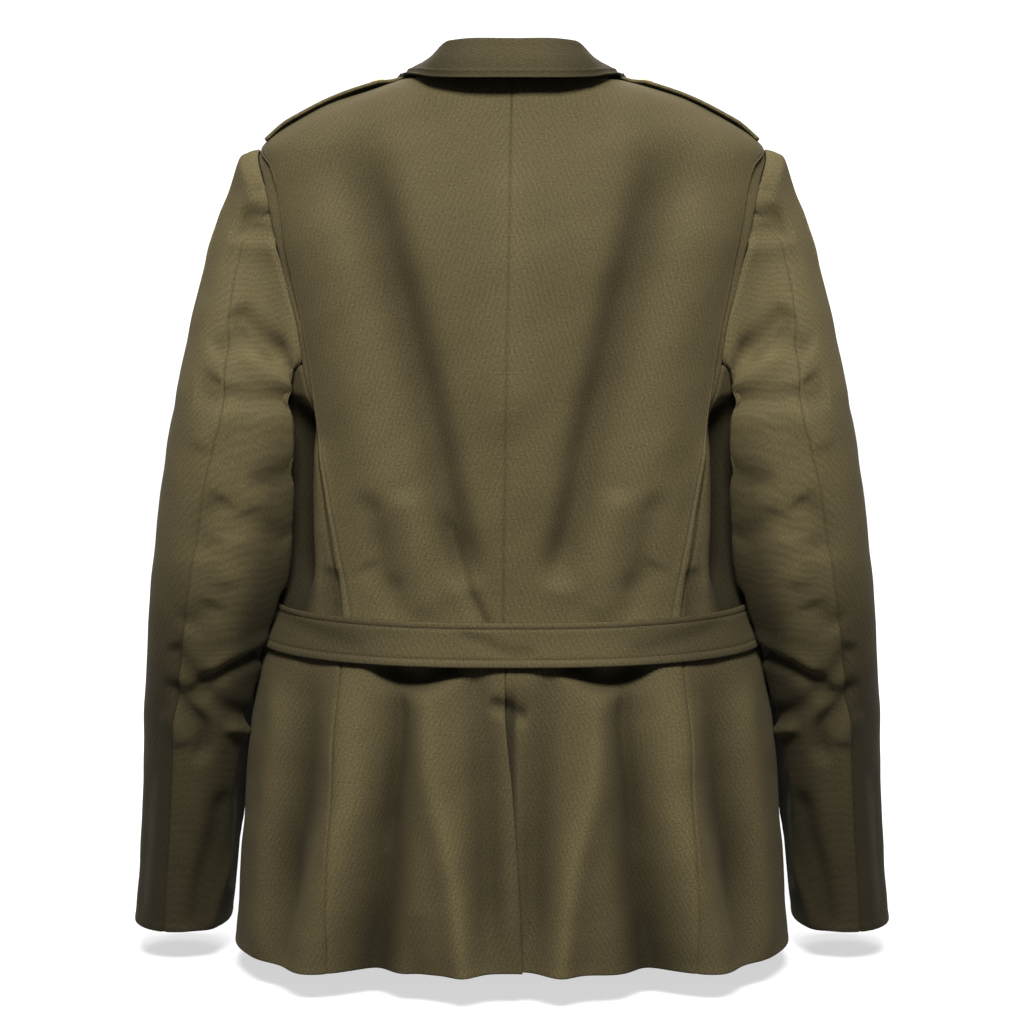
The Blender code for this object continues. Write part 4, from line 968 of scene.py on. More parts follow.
def make_belt():
    """Half belt: level bands of the body's section, stood off the waist, rounded over at both long edges."""
    sizes = bpy.context.scene.tunic_cloth
    low, high = BELT_HEIGHTS
    end = SIDE_FRONT - 1.5
    edges = (straight((-end, low), (-end, high)), straight((end, low), (end, high)),
             straight((-end, low), (end, low)), straight((-end, high), (end, high)))
    cut = Cut(edges, ("seam", "seam", "stitched", "stitched"), sizes.pitch)
    off_centre = np.abs(cut.angle) / SIDE_FRONT
    height = cut.height + BELT_LIFT * off_centre ** 3
    out, place = outward(cut.angle, height), section(cut.angle, height)
    stand = 4.2 * MM + 2.0 * MM * (1 - off_centre ** 2)
    dents = sum(along_path(place[..., 0], cut.height, path, rise, half_width)
                for rise, half_width, path in BELT_FOLDS)
    lift = stand + dents + np.maximum(folds(cut.angle, height), 0) * 0.5 + cut_rise(cut)
    face = place + out * lift[..., None]
    # Painted shading: the dents painted darker, and a painted shadow that darkens the belt toward its ends
    # beside the sleeves; the belt is also tinted slightly darker.
    cloth_piece("half_belt", face, face - out * sizes.wall, ["belt"], ["side_left", "side_right"], tint=-0.06,
                wear=dents / (2 * MM) - 1.7 * step(30, 62, np.abs(cut.angle)))
    sew(cut, 2, face, 1)
    sew(cut, 3, face, 1)


def make_collar():
    """Folded leaf: rows run round the neck, and columns run up the stand, over the fold and down the fall."""
    sizes = bpy.context.scene.tunic_cloth
    share = np.linspace(-1, 1, 161)
    from_back = np.abs(share)
    table = np.array(COLLAR)
    half = smooth(table[:, 0], table[:, 1:], from_back)
    flip = np.stack([np.where(share < 0, -1.0, 1.0), 0 * share + 1, 0 * share + 1], 1)
    fold, edge = half[:, :3] * flip, pushed_out(half[:, 3:] * flip, 5.5 * MM)
    turn, height = (smooth((0.0, 0.72, 1.0), ends, from_back)
                    for ends in ((0.0, 95.0, 133.0), (0.0, -0.001, SHOULDER)))
    foot = section(turn * np.sign(share), height)
    level, up = np.array((1, 1, 0)), np.array((0, 0, 1.0))
    forward = step(0.55, 0.80, from_back)[:, None]
    foot = foot - unit(foot * level) * (2.6 + 0.9 * forward) * MM - up * 3.5 * MM
    out = unit((edge - fold) * level)
    lines = [foot, foot + (fold - foot) * 0.5, foot + (fold - foot) * 0.86, fold + up * MM + out * 1.6 * MM]
    lines += [fold + (edge - fold) * way + (out * 0.8 + up * 0.5) * bulge * MM
              for way, bulge in ((0.22, 2.2), (0.60, 2.2), (1.0, 0.0))]
    lines = np.stack(lines, 1)
    place = np.array((0.0, 0.18, 0.34, 0.44, 0.56, 0.78, 1.0))
    across = np.concatenate([np.linspace(0, 0.30, 8)[:-1], np.linspace(0.30, 0.62, 22)[:-1],
                             np.linspace(0.62, 0.80, 8)[:-1], 1 - np.array(EDGES["stitched"])[::-1] / 62.0])
    face = np.stack([spline(place, line, across) for line in lines])
    normal = -grid_normals(face)
    run = lengths(face, 1)
    away = run[:, -1:] - run
    face = face + normal * edge_rise("stitched", away)[..., None]
    # Painted shade: the collar is tinted much darker, and painted darker again toward its front ends and its
    # outer edge.
    cloth_piece("fall_collar", face, face - normal * sizes.wall, ["collar"], ["back_left", "back_right"],
                held="folded", tint=-0.36,
                wear=-0.45 - 1.2 * step(0.16, 0.42, from_back)[:, None] - 0.4 * step(0.5, 1.0, across)[None])
    rows, near = np.arange(len(share)), np.abs(away - 6.0 * MM).argmin(1)
    THREADS.append((face[rows, near], normal[rows, near]))


def shoulder_height(x, y):
    """Height of the plain body's top over a place on the shoulder, found by halving."""
    low, high = np.full(np.shape(x), -0.12), np.zeros(np.shape(x))
    for _ in range(40):
        mid = (low + high) / 2
        wide, deep, power = body_shape(mid, y < 0)
        inside = np.abs(x / wide) ** power + np.abs(y / deep) ** power < 1
        low, high = np.where(inside, mid, low), np.where(inside, high, mid)
    return low


def strap_rise(x):
    """Gap under the strap: sewn down at its outer end, low under the collar, and standing clear between."""
    return MM * (0.7 + 2.3 * step(0.098, 0.112, x) * (1 - step(0.185, 0.205, x)))


def make_straps():
    """Straps over the shoulder: points on the body's top across a tapered
    width, raised by a wall and the gap."""
    sizes = bpy.context.scene.tunic_cloth
    near, far = STRAP[0][0], STRAP[-1][0]
    out = near + (far - near) * np.linspace(0, 1, 70) ** 1.15
    band = np.array(EDGES["stitched"]) / 19.0
    across = np.concatenate([-1 + band, np.linspace(-1 + band[-1], 1 - band[-1], 8)[1:-1], 1 - band[::-1]])
    x = out[:, None] + 0 * across
    half = column(STRAP, out)[:, None]
    y = half * across + STRAP_FORWARD
    points = np.stack([x, y, shoulder_height(x, y)], -1)
    _, way = off_body(points)
    side_away = (1 - np.abs(across)) * half
    away = np.minimum(side_away, x - near + side_away)
    face = points + way * (sizes.wall + strap_rise(x) + edge_rise("stitched", away))[..., None]
    stitched = len(EDGES["stitched"])
    for side, _ in SIDES:
        half_piece("shoulder_strap", "strap", side, face, face - way * sizes.wall, ["back", "front"],
                   held="laid",
                   tint=0.02)
        for edge in (stitched - 4, len(across) - stitched + 3):
            THREADS.append((mirrored(face[6:, edge], side), mirrored(way[6:, edge], side)))


def mesh_of(name, points, faces, material):
    """Smooth-shaded mesh of a grid of points."""
    mesh = bpy.data.meshes.new(name)
    mesh.from_pydata(points.reshape(-1, 3).tolist(), [], faces)
    mesh.polygons.foreach_set("use_smooth", np.ones(len(mesh.polygons), bool))
    mesh.update()
    mesh.materials.append(material)
    return mesh


def ring_faces(rings, around):
    """Index of each point of a stack of rings, and the four-cornered faces between them."""
    index = np.arange(rings * around).reshape(rings, around)
    onward = np.roll(index, -1, 1)
    return index, np.stack([index[:-1], onward[:-1], onward[1:], index[1:]], -1).reshape(-1, 4)


def button(name, node, centre, axis, radius, rise=1.0):
    """Domed button: a turned profile, the rim rolled, carried round the axis."""
    bend = np.linspace(0, 1, 30) * math.pi / 2
    dome = np.stack([0.90 * np.cos(bend), 0.16 + 0.26 * rise * np.sin(bend)], -1)
    rim = np.array(BUTTON_RIM)
    profile = np.concatenate([rim, dome])
    profile[-1, 0] = 0.004
    turns = np.linspace(0, 2 * math.pi, 49)[:-1]
    axis = unit(np.asarray(axis, float))
    side = unit(np.cross(axis, np.array((0.0, 0.3, 1.0))))
    ring = np.cos(turns)[:, None] * side + np.sin(turns)[:, None] * np.cross(axis, side)
    points = centre + radius * (profile[:, None, :1] * ring[None] + profile[:, None, 1:] * axis)
    index, quads = ring_faces(*points.shape[:2])
    faces = quads.tolist() + [index[0, ::-1].tolist(), index[-1].tolist()]
    finish_piece(bpy.data.objects.new(name, mesh_of(name, points, faces, brass())), [node])


def make_buttons():
    """Four buttons down the front's edge, and one on each strap near the collar."""
    for number, height in enumerate(BUTTON_HEIGHTS, 1):
        turn = np.array(180.0)
        out = outward(turn, height)
        foot = section(turn, height) + out * (folds(turn, np.array(height)) + LAYER + 0.5 * MM)
        button(f"brass_front_button_{number}", f"front_button_{number}", foot, out, 12 * MM)
    foot = np.array((*STRAP_SEAT, float(shoulder_height(np.array(STRAP_SEAT[0]), np.array(STRAP_SEAT[1])))))
    _, up = off_body(foot[None])
    seat = foot + up[0] * (1.8 * MM + strap_rise(foot[0]))
    for side, word in SIDES:
        button(f"brass_strap_button_{word}", f"strap_button_{word}",
               mirrored(seat, side), mirrored(up[0], side),
               7.5 * MM, rise=0.6)


# ---------------------------------------------------------------- sleeves
def armhole_at(share):
    """(angle, height) round the armhole from the shoulder seam: down the back,
    under the arm, up the front."""
    share = np.asarray(share, float) % 1.0
    back = np.clip(share / BACK_END, 0, 1)
    back_height = -0.058 + (-0.235 + 0.058) * back ** 1.45
    under = np.clip((share - BACK_END) / (UNDER_END - BACK_END), 0, 1)
    front = np.clip((share - UNDER_END) / (1 - UNDER_END), 0, 1)
    behind = pair(column(ARMHOLE_BACK, back_height), back_height)
    below = pair(column(ARMHOLE_UNDER, under, 2), column(ARMHOLE_UNDER, under, 1))
    before = pair(column(ARMHOLE_FRONT, front, 2), column(ARMHOLE_FRONT, front, 1))
    onward = np.where((share <= UNDER_END)[..., None], below, before)
    return np.where((share <= BACK_END)[..., None], behind, onward)


def sleeve_section(angle, height):
    """Rounded section of the sleeve between its outer, inner, rear and front
    reach; angle 0 is the outer side."""
    turn = np.radians(angle)
    rows = np.array(SLEEVE)
    outer, inner, behind, before, power = (smooth(rows[:, 0], rows[:, i], height) for i in range(1, 6))
    wide, deep = (outer - inner) / 2, (before - behind) / 2
    reach = (np.abs(np.cos(turn) / wide) ** power + np.abs(np.sin(turn) / deep) ** power) ** (-1 / power)
    return np.stack([(outer + inner) / 2 + reach * np.cos(turn),
                     (before + behind) / 2 - reach * np.sin(turn), height + 0 * turn], -1)


def sleeve_angle(share, height):
    """Angle round the sleeve of each line from the armhole: even steps between the two lengthwise seams."""
    hind, fore = column(HINDARM, height), column(FOREARM, height)
    share = share % 1.0
    under = (share - HINDARM_AT) / (FOREARM_AT - HINDARM_AT)
    over = ((share - FOREARM_AT) % 1.0) / (1.0 - FOREARM_AT + HINDARM_AT)
    inside = (share >= HINDARM_AT) & (share <= FOREARM_AT)
    return np.where(inside, hind + (fore - hind) * under, fore + (360 + hind - fore) * over)


def seam_frame(share):
    """Ways out of the body and onward past the armhole's edge, eased round the
    seam by a bell-shaped average."""
    count = 240
    loop = armhole_at(np.arange(count) / count)
    start, out = section(loop[:, 0], loop[:, 1]), outward(loop[:, 0], loop[:, 1])
    edge = unit(np.roll(start, -3, 0) - np.roll(start, 3, 0))
    onward = unit(np.cross(edge, out))
    onward *= np.sign(((start.mean(0) - start) * onward).sum(-1, keepdims=True))
    ways = []
    for way, ease in ((out, 4), (onward, 9)):
        reach = np.arange(-3 * ease, 3 * ease + 1)
        eased = sum(math.exp(-(r / ease) ** 2) * np.roll(way, -r, 0) for r in reach)
        eased = np.concatenate([eased, eased[:1]])
        ways.append(unit(np.stack([np.interp((share % 1.0) * count, np.arange(count + 1), eased[:, i])
                                   for i in range(3)], -1)))
    return ways


def cap_curves(start, leave, foot, down, low, rows):
    """Cubic from each armhole point to the first full section: it leaves along
    one way and arrives along another."""
    reach = np.linalg.norm(foot - start, axis=-1, keepdims=True)
    swing = 0.9 - 0.10 * (1 - low) ** 4
    t = np.asarray(rows)[:, None, None]
    ease = 2 * t ** 3 - 3 * t ** 2 + 1
    return (start * ease + leave * reach * swing * (t ** 3 - 2 * t ** 2 + t) + foot * (1 - ease)
            + down * reach * 0.9 * (t ** 3 - t ** 2))


def sleeve_turn(angle):
    """Way round the sleeve in metres, for its creases: the angle, cut open at the outer side, times 55 mm."""
    return np.radians((angle - 60) % 360 + 60) * 0.055


def sleeve_cap(share, rows, foot, down):
    """Cap of the sleeve: from each armhole point a cubic, leaving out of the body,
    to the first full section. Over the shoulder it is filled out to the head's own
    line. Also the ways that it leaves and is sewn along."""
    spread = ((-0.018, 0.12), (-0.009, 0.23), (0.0, 0.30), (0.009, 0.23), (0.018, 0.12))
    loop = sum(weight * armhole_at(share + shift) for shift, weight in spread)
    lift = folds(loop[:, 0], loop[:, 1]) + seam_sink(loop[:, 0], loop[:, 1])
    out, onward = seam_frame(share)
    start = (section(loop[:, 0], loop[:, 1]) + outward(loop[:, 0], loop[:, 1]) * (lift[:, None] - 1.2 * MM)
             - onward * 1.2 * MM)
    low = np.clip((-start[:, 2:] + SHOULDER) / 0.19, 0, 1)
    leave = unit(onward * (0.75 - 0.50 * low ** 3) + out * (0.25 + 0.55 * low ** 3)
                 + np.array((0, 0, -1.0)) * (0.25 + 0.05 * low ** 3))
    cap = cap_curves(start, leave, foot, down, low, rows)
    # The sleeve's outermost line, from the shoulder seam.
    at_top, level = np.zeros(1), np.full(1, CAP_FOOT)
    loop = armhole_at(at_top)
    crest_out, crest_on = seam_frame(at_top)
    crest_foot = sleeve_section(sleeve_angle(at_top, CAP_FOOT), level)
    crest_down = unit(sleeve_section(sleeve_angle(at_top, CAP_FOOT), level - 0.01) - crest_foot)
    crest = cap_curves(section(loop[:, 0], loop[:, 1]) + crest_on * SEAM_GAP,
                       unit(crest_on * 0.75 + crest_out * 0.25 + np.array((0, 0, -0.25))), crest_foot,
                       crest_down, np.zeros((1, 1)), rows)[:, 0]
    fill = np.maximum(column(HEAD, crest[:, 2]) - crest[:, 0], 0) * (1 - step(0.55, 1.0, rows))
    away = np.minimum(share % 1.0, 1 - share % 1.0)
    cap[..., 0] += fill[:, None] * np.exp(-(away / 0.17) ** 2)
    sewn = unit(out * np.maximum((leave * onward).sum(-1, keepdims=True), 0.0)
                - onward * np.maximum((leave * out).sum(-1, keepdims=True), 0.0))
    return cap, sewn


def sleeve_surface(share, rows_cap, heights):
    """Sleeve from the armhole to the cuff: the cap, and below it a rounded section at each height. The
    creases sink into it, and it clears the body, the belt and the pockets by its margin."""
    angles = sleeve_angle(share[None, :], heights[:, None])
    tube = sleeve_section(angles, heights[:, None] + 0 * angles)
    down = unit(sleeve_section(angles[0], np.full(angles[0].shape, CAP_FOOT - 0.01)) - tube[0])
    cap, sewn = sleeve_cap(share, rows_cap, tube[0], down)
    face = np.concatenate([cap, tube])
    around = np.concatenate([np.repeat(angles[:1], len(cap), 0), angles])
    rise = 0.0
    for name, amount, half_width, path in SLEEVE_FOLDS:
        table = np.array(path, float)
        route = np.stack([sleeve_turn(table[:, 0]), table[:, 1]], -1)
        rise = rise + along_path(sleeve_turn(around), face[..., 2], route, amount, half_width)
    share_down = np.concatenate([rows_cap, np.ones(len(heights))])[:, None]
    depth = step(0.0, 0.22, share_down)
    height = face[..., 2]
    beside = (step(-0.72, -0.69, height) * (1 - step(-0.47, -0.44, height))
              * step(-0.035, -0.005, face[..., 1]))
    at_belt = step(-0.492, -0.484, height) * (1 - step(-0.430, -0.422, height))
    margin = depth * (3.6 * MM + np.maximum(8.0 * MM * beside, 6.0 * MM * at_belt))
    beyond = np.maximum(folds(np.degrees(np.arctan2(face[..., 0], -face[..., 1])), height), 0.0)
    clear = pushed_out(face, np.where(depth > 0.02, margin + beyond * depth, -1.0))
    face = np.where(depth[..., None] > 0.02, clear, face)
    normal = unit(np.cross(np.gradient(face, axis=1), np.gradient(face, axis=0)))
    blend = 1 - step(0.0, 0.10, share_down)[..., None]
    normal = unit(normal * (1 - blend) + sewn[None] * blend)
    height = face[..., 2]
    # Painted shadow on the sleeve's inner side, from below the armpit down the forearm, weaker toward the
    # cuff.
    inner = (step(96, 118, around) * (1 - step(236, 262, around)) * step(-0.27, -0.34, height)
             * (1 - 0.7 * step(-0.46, -0.56, height)))
    # Painted shading: the creases painted darker and their ridges lighter, the whole sleeve a little lighter,
    # then painted darker in steps down the forearm to the cuff, where the light falls off, and the inner
    # side's painted shadow.
    wear = (0.55 + rise / (9 * MM) - 1.5 * step(-0.34, -0.50, height) - 0.8 * step(-0.44, -0.54, height)
            - 0.7 * step(-0.54, -0.70, height) - 2.1 * inner)
    return face + normal * (rise + ripple(face, 0.9) * depth)[..., None], normal, wear


def make_sleeves():
    """Under and upper sleeve, joined at the hindarm and forearm seams, with a turned edge at the cuff."""
    sizes = bpy.context.scene.tunic_cloth
    girth, cuff_edge = 0.21, (12, 10.5, 9.5, 8.7, 8.0, 7.3, 6.5, 5.0, 3.0, 1.5, 0.8, 0.35, 0)
    length = CAP_FOOT - CUFF
    rows_cap = np.concatenate([np.array(EDGES["seam"]) / 220, np.linspace(0.032, 1, 62)[:-1]])
    down = np.linspace(0, length - 0.012, 120)[:-1]
    heights = CAP_FOOT - np.concatenate([down, length - np.array(cuff_edge) * MM])
    for name, node, first, last, shade in (("sleeve_under", "under_sleeve", HINDARM_AT, FOREARM_AT, 0.0),
                                           ("sleeve_top", "top_sleeve", FOREARM_AT, 1 + HINDARM_AT, 1.3)):
        share = first + (last - first) * ruler(girth, "seam", "seam", sizes.pitch)
        face, normal, wear = sleeve_surface(share, rows_cap, heights)
        left, fall = lengths(face, 1), lengths(face, 0)
        up = fall[-1:] - fall
        rise = edge_rise("seam", left) + edge_rise("seam", left[:, -1:] - left) + edge_rise("fold", up)
        rise += 0.3 * MM * np.exp(-((up - 5 * MM) / (3 * MM)) ** 2)
        rise += edge_rise("seam", fall) * step(0.5, 4.0, fall / MM)
        face = face + normal * rise[..., None]
        for side, _ in SIDES:
            # Painted shade: the top sleeve is painted darker from the upper arm down to the forearm by its
            # shade value, on top of the sleeve's painted shading.
            half_piece(name, node, side, face, face - normal * sizes.wall, ["front", "side"],
                       wear=wear - shade * step(-0.30, -0.52, face[..., 2]))


# ---------------------------------------------------------------- stitching
THREADS = []


def sew(cut, edge, face, side):
    """Note the line of stitching six millimetres in from one edge."""
    lengthwise = edge < 2
    near = np.abs(cut.away[edge] - 6 * MM).argmin(1 if lengthwise else 0)
    count = np.arange(len(near))
    spots = (count, near) if lengthwise else (near, count)
    THREADS.append((mirrored(face[spots], side), mirrored(grid_normals(face)[spots], side)))


def make_stitching():
    """Every stitch is a short spindle along its line: six sides, five rings, pinched at both ends."""
    pitch, long, thick = 3.0 * MM, 2.4 * MM, 0.26 * MM
    places = []
    for line, out in THREADS:
        run = lengths(line[None], 1)[0]
        at = np.arange(pitch, run[-1] - pitch / 2, pitch)
        if len(at) < 2:
            continue
        place, up = (np.stack([np.interp(at, run, x[:, i]) for i in range(3)], -1) for x in (line, out))
        places.append((place, unit(np.gradient(place, axis=0)), unit(up)))
    centre, way, up = (np.concatenate(x) for x in zip(*places))
    beside = unit(np.cross(way, up))
    up = np.cross(beside, way)
    along = np.array((-0.5, -0.32, 0.0, 0.32, 0.5)) * long
    size = np.array((0.15, 0.85, 1.0, 0.85, 0.15)) * thick
    turn = np.linspace(0, 2 * math.pi, 7)[:-1]
    ring = np.cos(turn)[None, :, None] * beside[:, None] + np.sin(turn)[None, :, None] * up[:, None]
    points = (centre[:, None, None] + along[None, :, None, None] * way[:, None, None]
              + size[None, :, None, None] * ring[:, None] + 0.10 * MM * up[:, None, None])
    index = np.arange(points.size // 3).reshape(points.shape[:3])
    onward = np.roll(index, -1, 2)
    quads = np.stack([index[:, :-1], index[:, 1:], onward[:, 1:], onward[:, :-1]], -1).reshape(-1, 4)
    ends = np.concatenate([index[:, 0], index[:, -1, ::-1]]).reshape(-1, 6)
    mesh = mesh_of("topstitching", points, quads.tolist() + ends.tolist(), thread_material())
    finish_piece(bpy.data.objects.new("topstitching", mesh), [])


# ---------------------------------------------------------------- studio
def paper(glow, floor):
    """Pale paper that glows by its own emission as painted light: the glow strength on the floor, rising to
    full strength up the wall, which keeps the floor white and the shadows cast on it faint.
    """
    return graph("pale_paper", {"Roughness": 0.9, "Specular IOR Level": 0.1,
                                "Base Color": (0.45, 0.45, 0.45, 1.0),
                                "Emission Color": (1.0, 1.0, 1.0, 1.0), "Emission Strength": "lit.Result"},
                 ("place", "TexCoord", {}),
                 ("parts", "SeparateXYZ", {"Vector": "place.Object"}),
                 ("lit", "MapRange", {"From Min": floor, "From Max": floor + 0.8,
                                       "To Min": glow, "To Max": 1.0,
                                      "Value": "parts.Z"}))


def area_light(name, place, aim, size, power):
    """White oblong light that looks at a point."""
    light = bpy.data.lights.new(name, "AREA")
    light.shape, light.energy = "RECTANGLE", power
    light.size, light.size_y = size
    obj = bpy.data.objects.new(name, light)
    bpy.context.scene.collection.objects.link(obj)
    obj.location = place
    d = np.array(aim, float) - np.array(place, float)
    obj.rotation_euler = (math.atan2(math.hypot(d[0], d[1]), -d[2]), 0.0, math.atan2(-d[0], d[1]))


def make_stage():
    """Round studio bowl: a floor that turns up into a wall in one smooth curve,
    with the lights and the camera."""
    scene = bpy.context.scene
    studio = scene.tunic_studio
    floor, reach, bend, top = studio.floor, 3.0, 0.9, 3.2
    run = np.linspace(0, math.pi / 2, 24)
    radius = np.concatenate([[0.05, 0.5, 1.0, 1.5, 2.0, 2.5], reach + bend * np.sin(run), [reach + bend]])
    height = np.concatenate([np.full(6, floor), floor + bend * (1 - np.cos(run)), [top]])
    turn = np.linspace(0, 2 * math.pi, 97)[:-1]
    points = np.stack([radius[:, None] * np.cos(turn), radius[:, None] * np.sin(turn),
                       height[:, None] + 0 * turn], -1)
    index, quads = ring_faces(*points.shape[:2])
    faces = quads[:, ::-1].tolist() + [index[0].tolist()]
    mesh = mesh_of("studio_sweep", points, faces, paper(studio.glow, floor))
    sweep = bpy.data.objects.new("studio_sweep", mesh)
    scene.collection.objects.link(sweep)
    sweep.visible_diffuse = False
    world = bpy.data.worlds.new("studio_world")
    scene.world = world
    world.use_nodes = True
    background = world.node_tree.nodes["Background"]
    background.inputs["Color"].default_value = (1, 1, 1, 1)
    background.inputs["Strength"].default_value = studio.ambient
    area_light("key", (0.0, -2.30, 2.10), (0, 0.0, -0.34), (1.2, 0.7), studio.key)
    area_light("fill_left", (-2.2, -1.2, 0.5), (0, 0, -0.30), (1.0, 1.2), studio.fill)
    area_light("fill_right", (2.2, -1.2, 0.5), (0, 0, -0.30), (1.0, 1.2), studio.fill)
    area_light("floor_light", (0.0, 1.0, 2.4), (0, 1.6, -0.75), (3.0, 1.0), studio.backdrop)
    area_light("front_light", (0.0, 2.4, 1.6), (0, 0, -0.35), (1.4, 0.7), studio.front)
    camera = bpy.data.cameras.new("camera")
    camera.sensor_width, camera.lens, camera.clip_end = 36.0, 86.84, 30.0
    obj = bpy.data.objects.new("camera", camera)
    scene.collection.objects.link(obj)
    obj.location = (0.0, -2.1, -0.091)
    obj.rotation_euler = (math.radians(90 - 7.485), 0.0, 0.0)
    scene.camera = obj
    scene.view_settings.view_transform = "Standard"


# ---------------------------------------------------------------- add-on
class TunicCloth(bpy.types.PropertyGroup):
    """Sizes and colour of the cloth."""
    wall: FloatProperty(name="Wall", description="Thickness of the cloth with its interlining",
                        default=0.0018, min=0.001, max=0.003, unit="LENGTH")
    pitch: FloatProperty(name="Fineness", description="Distance between the points of a cloth surface",
                         default=0.0034, min=0.002, max=0.02, unit="LENGTH")
    rib: FloatProperty(name="Rib", description="Distance between the ribs of the twill", default=0.0021,
                       min=0.0003, max=0.003, unit="LENGTH")
    # Strength of the painted shading: how far the per-point painted light and shade lighten ridges and darken
    # hollows, creases and shaded places.
    wear: FloatProperty(name="Wear",
                        description="How much the ridges have faded and the hollows kept their dye",
                        default=0.24, min=0, max=0.4)
    color: FloatVectorProperty(name="Cloth colour", description="Colour of the gabardine",
                               subtype="COLOR", size=3, default=(0.088, 0.070, 0.032), min=0, max=1)


class TunicStudio(bpy.types.PropertyGroup):
    """Floor and light of the studio."""
    floor: FloatProperty(name="Floor", description="Height of the floor below the neck",
                         default=-0.762, unit="LENGTH")
    key: FloatProperty(name="Key light", description="Power of the light over the camera",
                       default=192.0, unit="POWER")
    fill: FloatProperty(name="Side light", description="Power of each side light", default=0.4, unit="POWER")
    backdrop: FloatProperty(name="Floor light", description="Power of the light on the floor beyond the tunic",
                            default=70.0, unit="POWER")
    front: FloatProperty(name="Front light", description="Power of the light before the tunic", default=45.0,
                         unit="POWER")
    # Painted light: strength of the paper's own emission on the floor, which lightens the floor and the
    # shadows cast on it.
    glow: FloatProperty(name="Table glow", description="Light that comes up through the pale table",
                        default=0.62)
    ambient: FloatProperty(name="Room light", description="Strength of the light from all round",
                           default=0.03)


class PieceOperator:
    """What the operators below share: each makes its pieces, and an error inside stops the build."""
    bl_options = {"REGISTER", "UNDO"}

    def execute(self, context):
        before = len(bpy.data.objects)
        self.make()
        if len(bpy.data.objects) == before:
            raise RuntimeError(f"{self.bl_label}: nothing was made")
        return {"FINISHED"}


class TUNIC_OT_backs(PieceOperator, bpy.types.Operator):
    """Two halves of the upper back, folded over the pleats"""
    bl_idname = "tunic.backs"
    bl_label = "Upper back"
    make = staticmethod(make_backs)


class TUNIC_OT_pleats(PieceOperator, bpy.types.Operator):
    """Strips that lie under the back's folds"""
    bl_idname = "tunic.pleats"
    bl_label = "Action pleats"
    make = staticmethod(make_pleats)


class TUNIC_OT_side_bodies(PieceOperator, bpy.types.Operator):
    """Side bodies from the underarm to the hem"""
    bl_idname = "tunic.side_bodies"
    bl_label = "Side bodies"
    make = staticmethod(make_sides)


class TUNIC_OT_skirts(PieceOperator, bpy.types.Operator):
    """Two back skirts with a centre vent"""
    bl_idname = "tunic.skirts"
    bl_label = "Back skirts"
    make = staticmethod(make_skirts)


class TUNIC_OT_fronts(PieceOperator, bpy.types.Operator):
    """Two fronts, the left lapped over the right"""
    bl_idname = "tunic.fronts"
    bl_label = "Fronts"
    make = staticmethod(make_fronts)


class TUNIC_OT_lapels(PieceOperator, bpy.types.Operator):
    """Lapels turned back on the chest"""
    bl_idname = "tunic.lapels"
    bl_label = "Lapels"
    make = staticmethod(make_lapels)


class TUNIC_OT_pockets(PieceOperator, bpy.types.Operator):
    """Lower patch pockets and their flaps"""
    bl_idname = "tunic.pockets"
    bl_label = "Pockets"
    make = staticmethod(make_pockets)


class TUNIC_OT_belt(PieceOperator, bpy.types.Operator):
    """Half belt round the back of the waist"""
    bl_idname = "tunic.belt"
    bl_label = "Half belt"
    make = staticmethod(make_belt)


class TUNIC_OT_collar(PieceOperator, bpy.types.Operator):
    """Fall collar with its stand"""
    bl_idname = "tunic.collar"
    bl_label = "Collar"
    make = staticmethod(make_collar)


class TUNIC_OT_straps(PieceOperator, bpy.types.Operator):
    """Shoulder straps"""
    bl_idname = "tunic.straps"
    bl_label = "Shoulder straps"
    make = staticmethod(make_straps)


class TUNIC_OT_buttons(PieceOperator, bpy.types.Operator):
    """Domed front and strap buttons"""
    bl_idname = "tunic.buttons"
    bl_label = "Buttons"
    make = staticmethod(make_buttons)


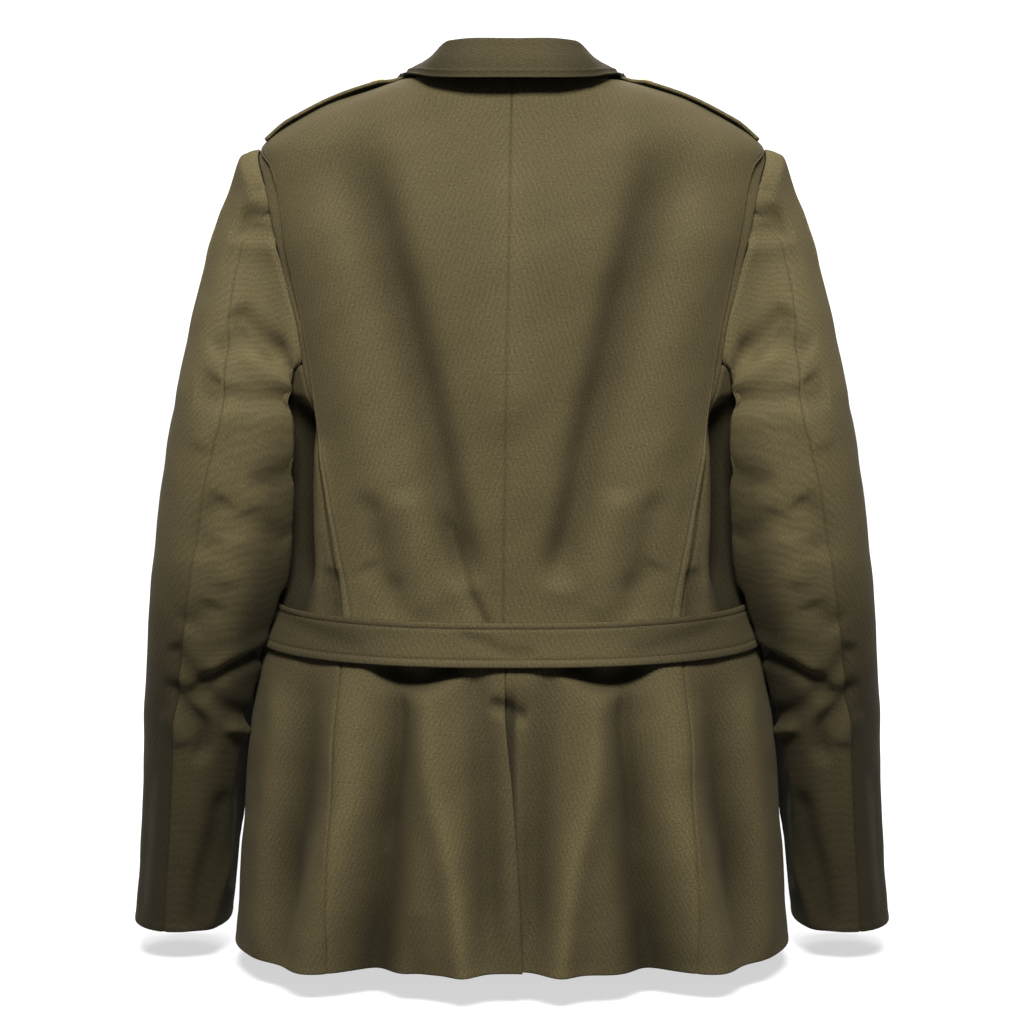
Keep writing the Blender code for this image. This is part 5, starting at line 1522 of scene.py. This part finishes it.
class TUNIC_OT_sleeves(PieceOperator, bpy.types.Operator):
    """Two-piece sleeves"""
    bl_idname = "tunic.sleeves"
    bl_label = "Sleeves"
    make = staticmethod(make_sleeves)


class TUNIC_OT_stitching(PieceOperator, bpy.types.Operator):
    """Topstitching on the sewn edges"""
    bl_idname = "tunic.stitching"
    bl_label = "Stitching"
    make = staticmethod(make_stitching)


class TUNIC_OT_stage(PieceOperator, bpy.types.Operator):
    """Floor, backdrop, lights and camera"""
    bl_idname = "tunic.stage"
    bl_label = "Studio"
    make = staticmethod(make_stage)


OPERATORS = (TUNIC_OT_backs, TUNIC_OT_pleats, TUNIC_OT_side_bodies, TUNIC_OT_skirts,
             TUNIC_OT_fronts, TUNIC_OT_lapels, TUNIC_OT_pockets, TUNIC_OT_belt,
             TUNIC_OT_collar, TUNIC_OT_straps, TUNIC_OT_buttons, TUNIC_OT_sleeves,
             TUNIC_OT_stitching, TUNIC_OT_stage)


class TUNIC_PT_panel(bpy.types.Panel):
    """Sizes and pieces of the tunic."""
    bl_idname = "TUNIC_PT_panel"
    bl_label = "Tunic"
    bl_space_type = "VIEW_3D"
    bl_region_type = "UI"
    bl_category = "Tunic"

    def draw(self, context):
        layout = self.layout
        for group in (context.scene.tunic_cloth, context.scene.tunic_studio):
            for name in group.__annotations__:
                layout.prop(group, name)
        for operator in OPERATORS:
            layout.operator(operator.bl_idname)


CLASSES = (TunicCloth, TunicStudio) + OPERATORS + (TUNIC_PT_panel,)


def register():
    """Add the operator, the panel and the settings."""
    for cls in CLASSES:
        bpy.utils.register_class(cls)
    bpy.types.Scene.tunic_cloth = PointerProperty(type=TunicCloth)
    bpy.types.Scene.tunic_studio = PointerProperty(type=TunicStudio)


def unregister():
    """Take them away again."""
    del bpy.types.Scene.tunic_studio
    del bpy.types.Scene.tunic_cloth
    for cls in reversed(CLASSES):
        bpy.utils.unregister_class(cls)


def main():
    """Build the tunic and its studio with the settings as they stand."""
    register()
    for operator in OPERATORS:
        getattr(bpy.ops.tunic, operator.bl_idname.split(".")[1])()


if __name__ == "__main__":
    main()
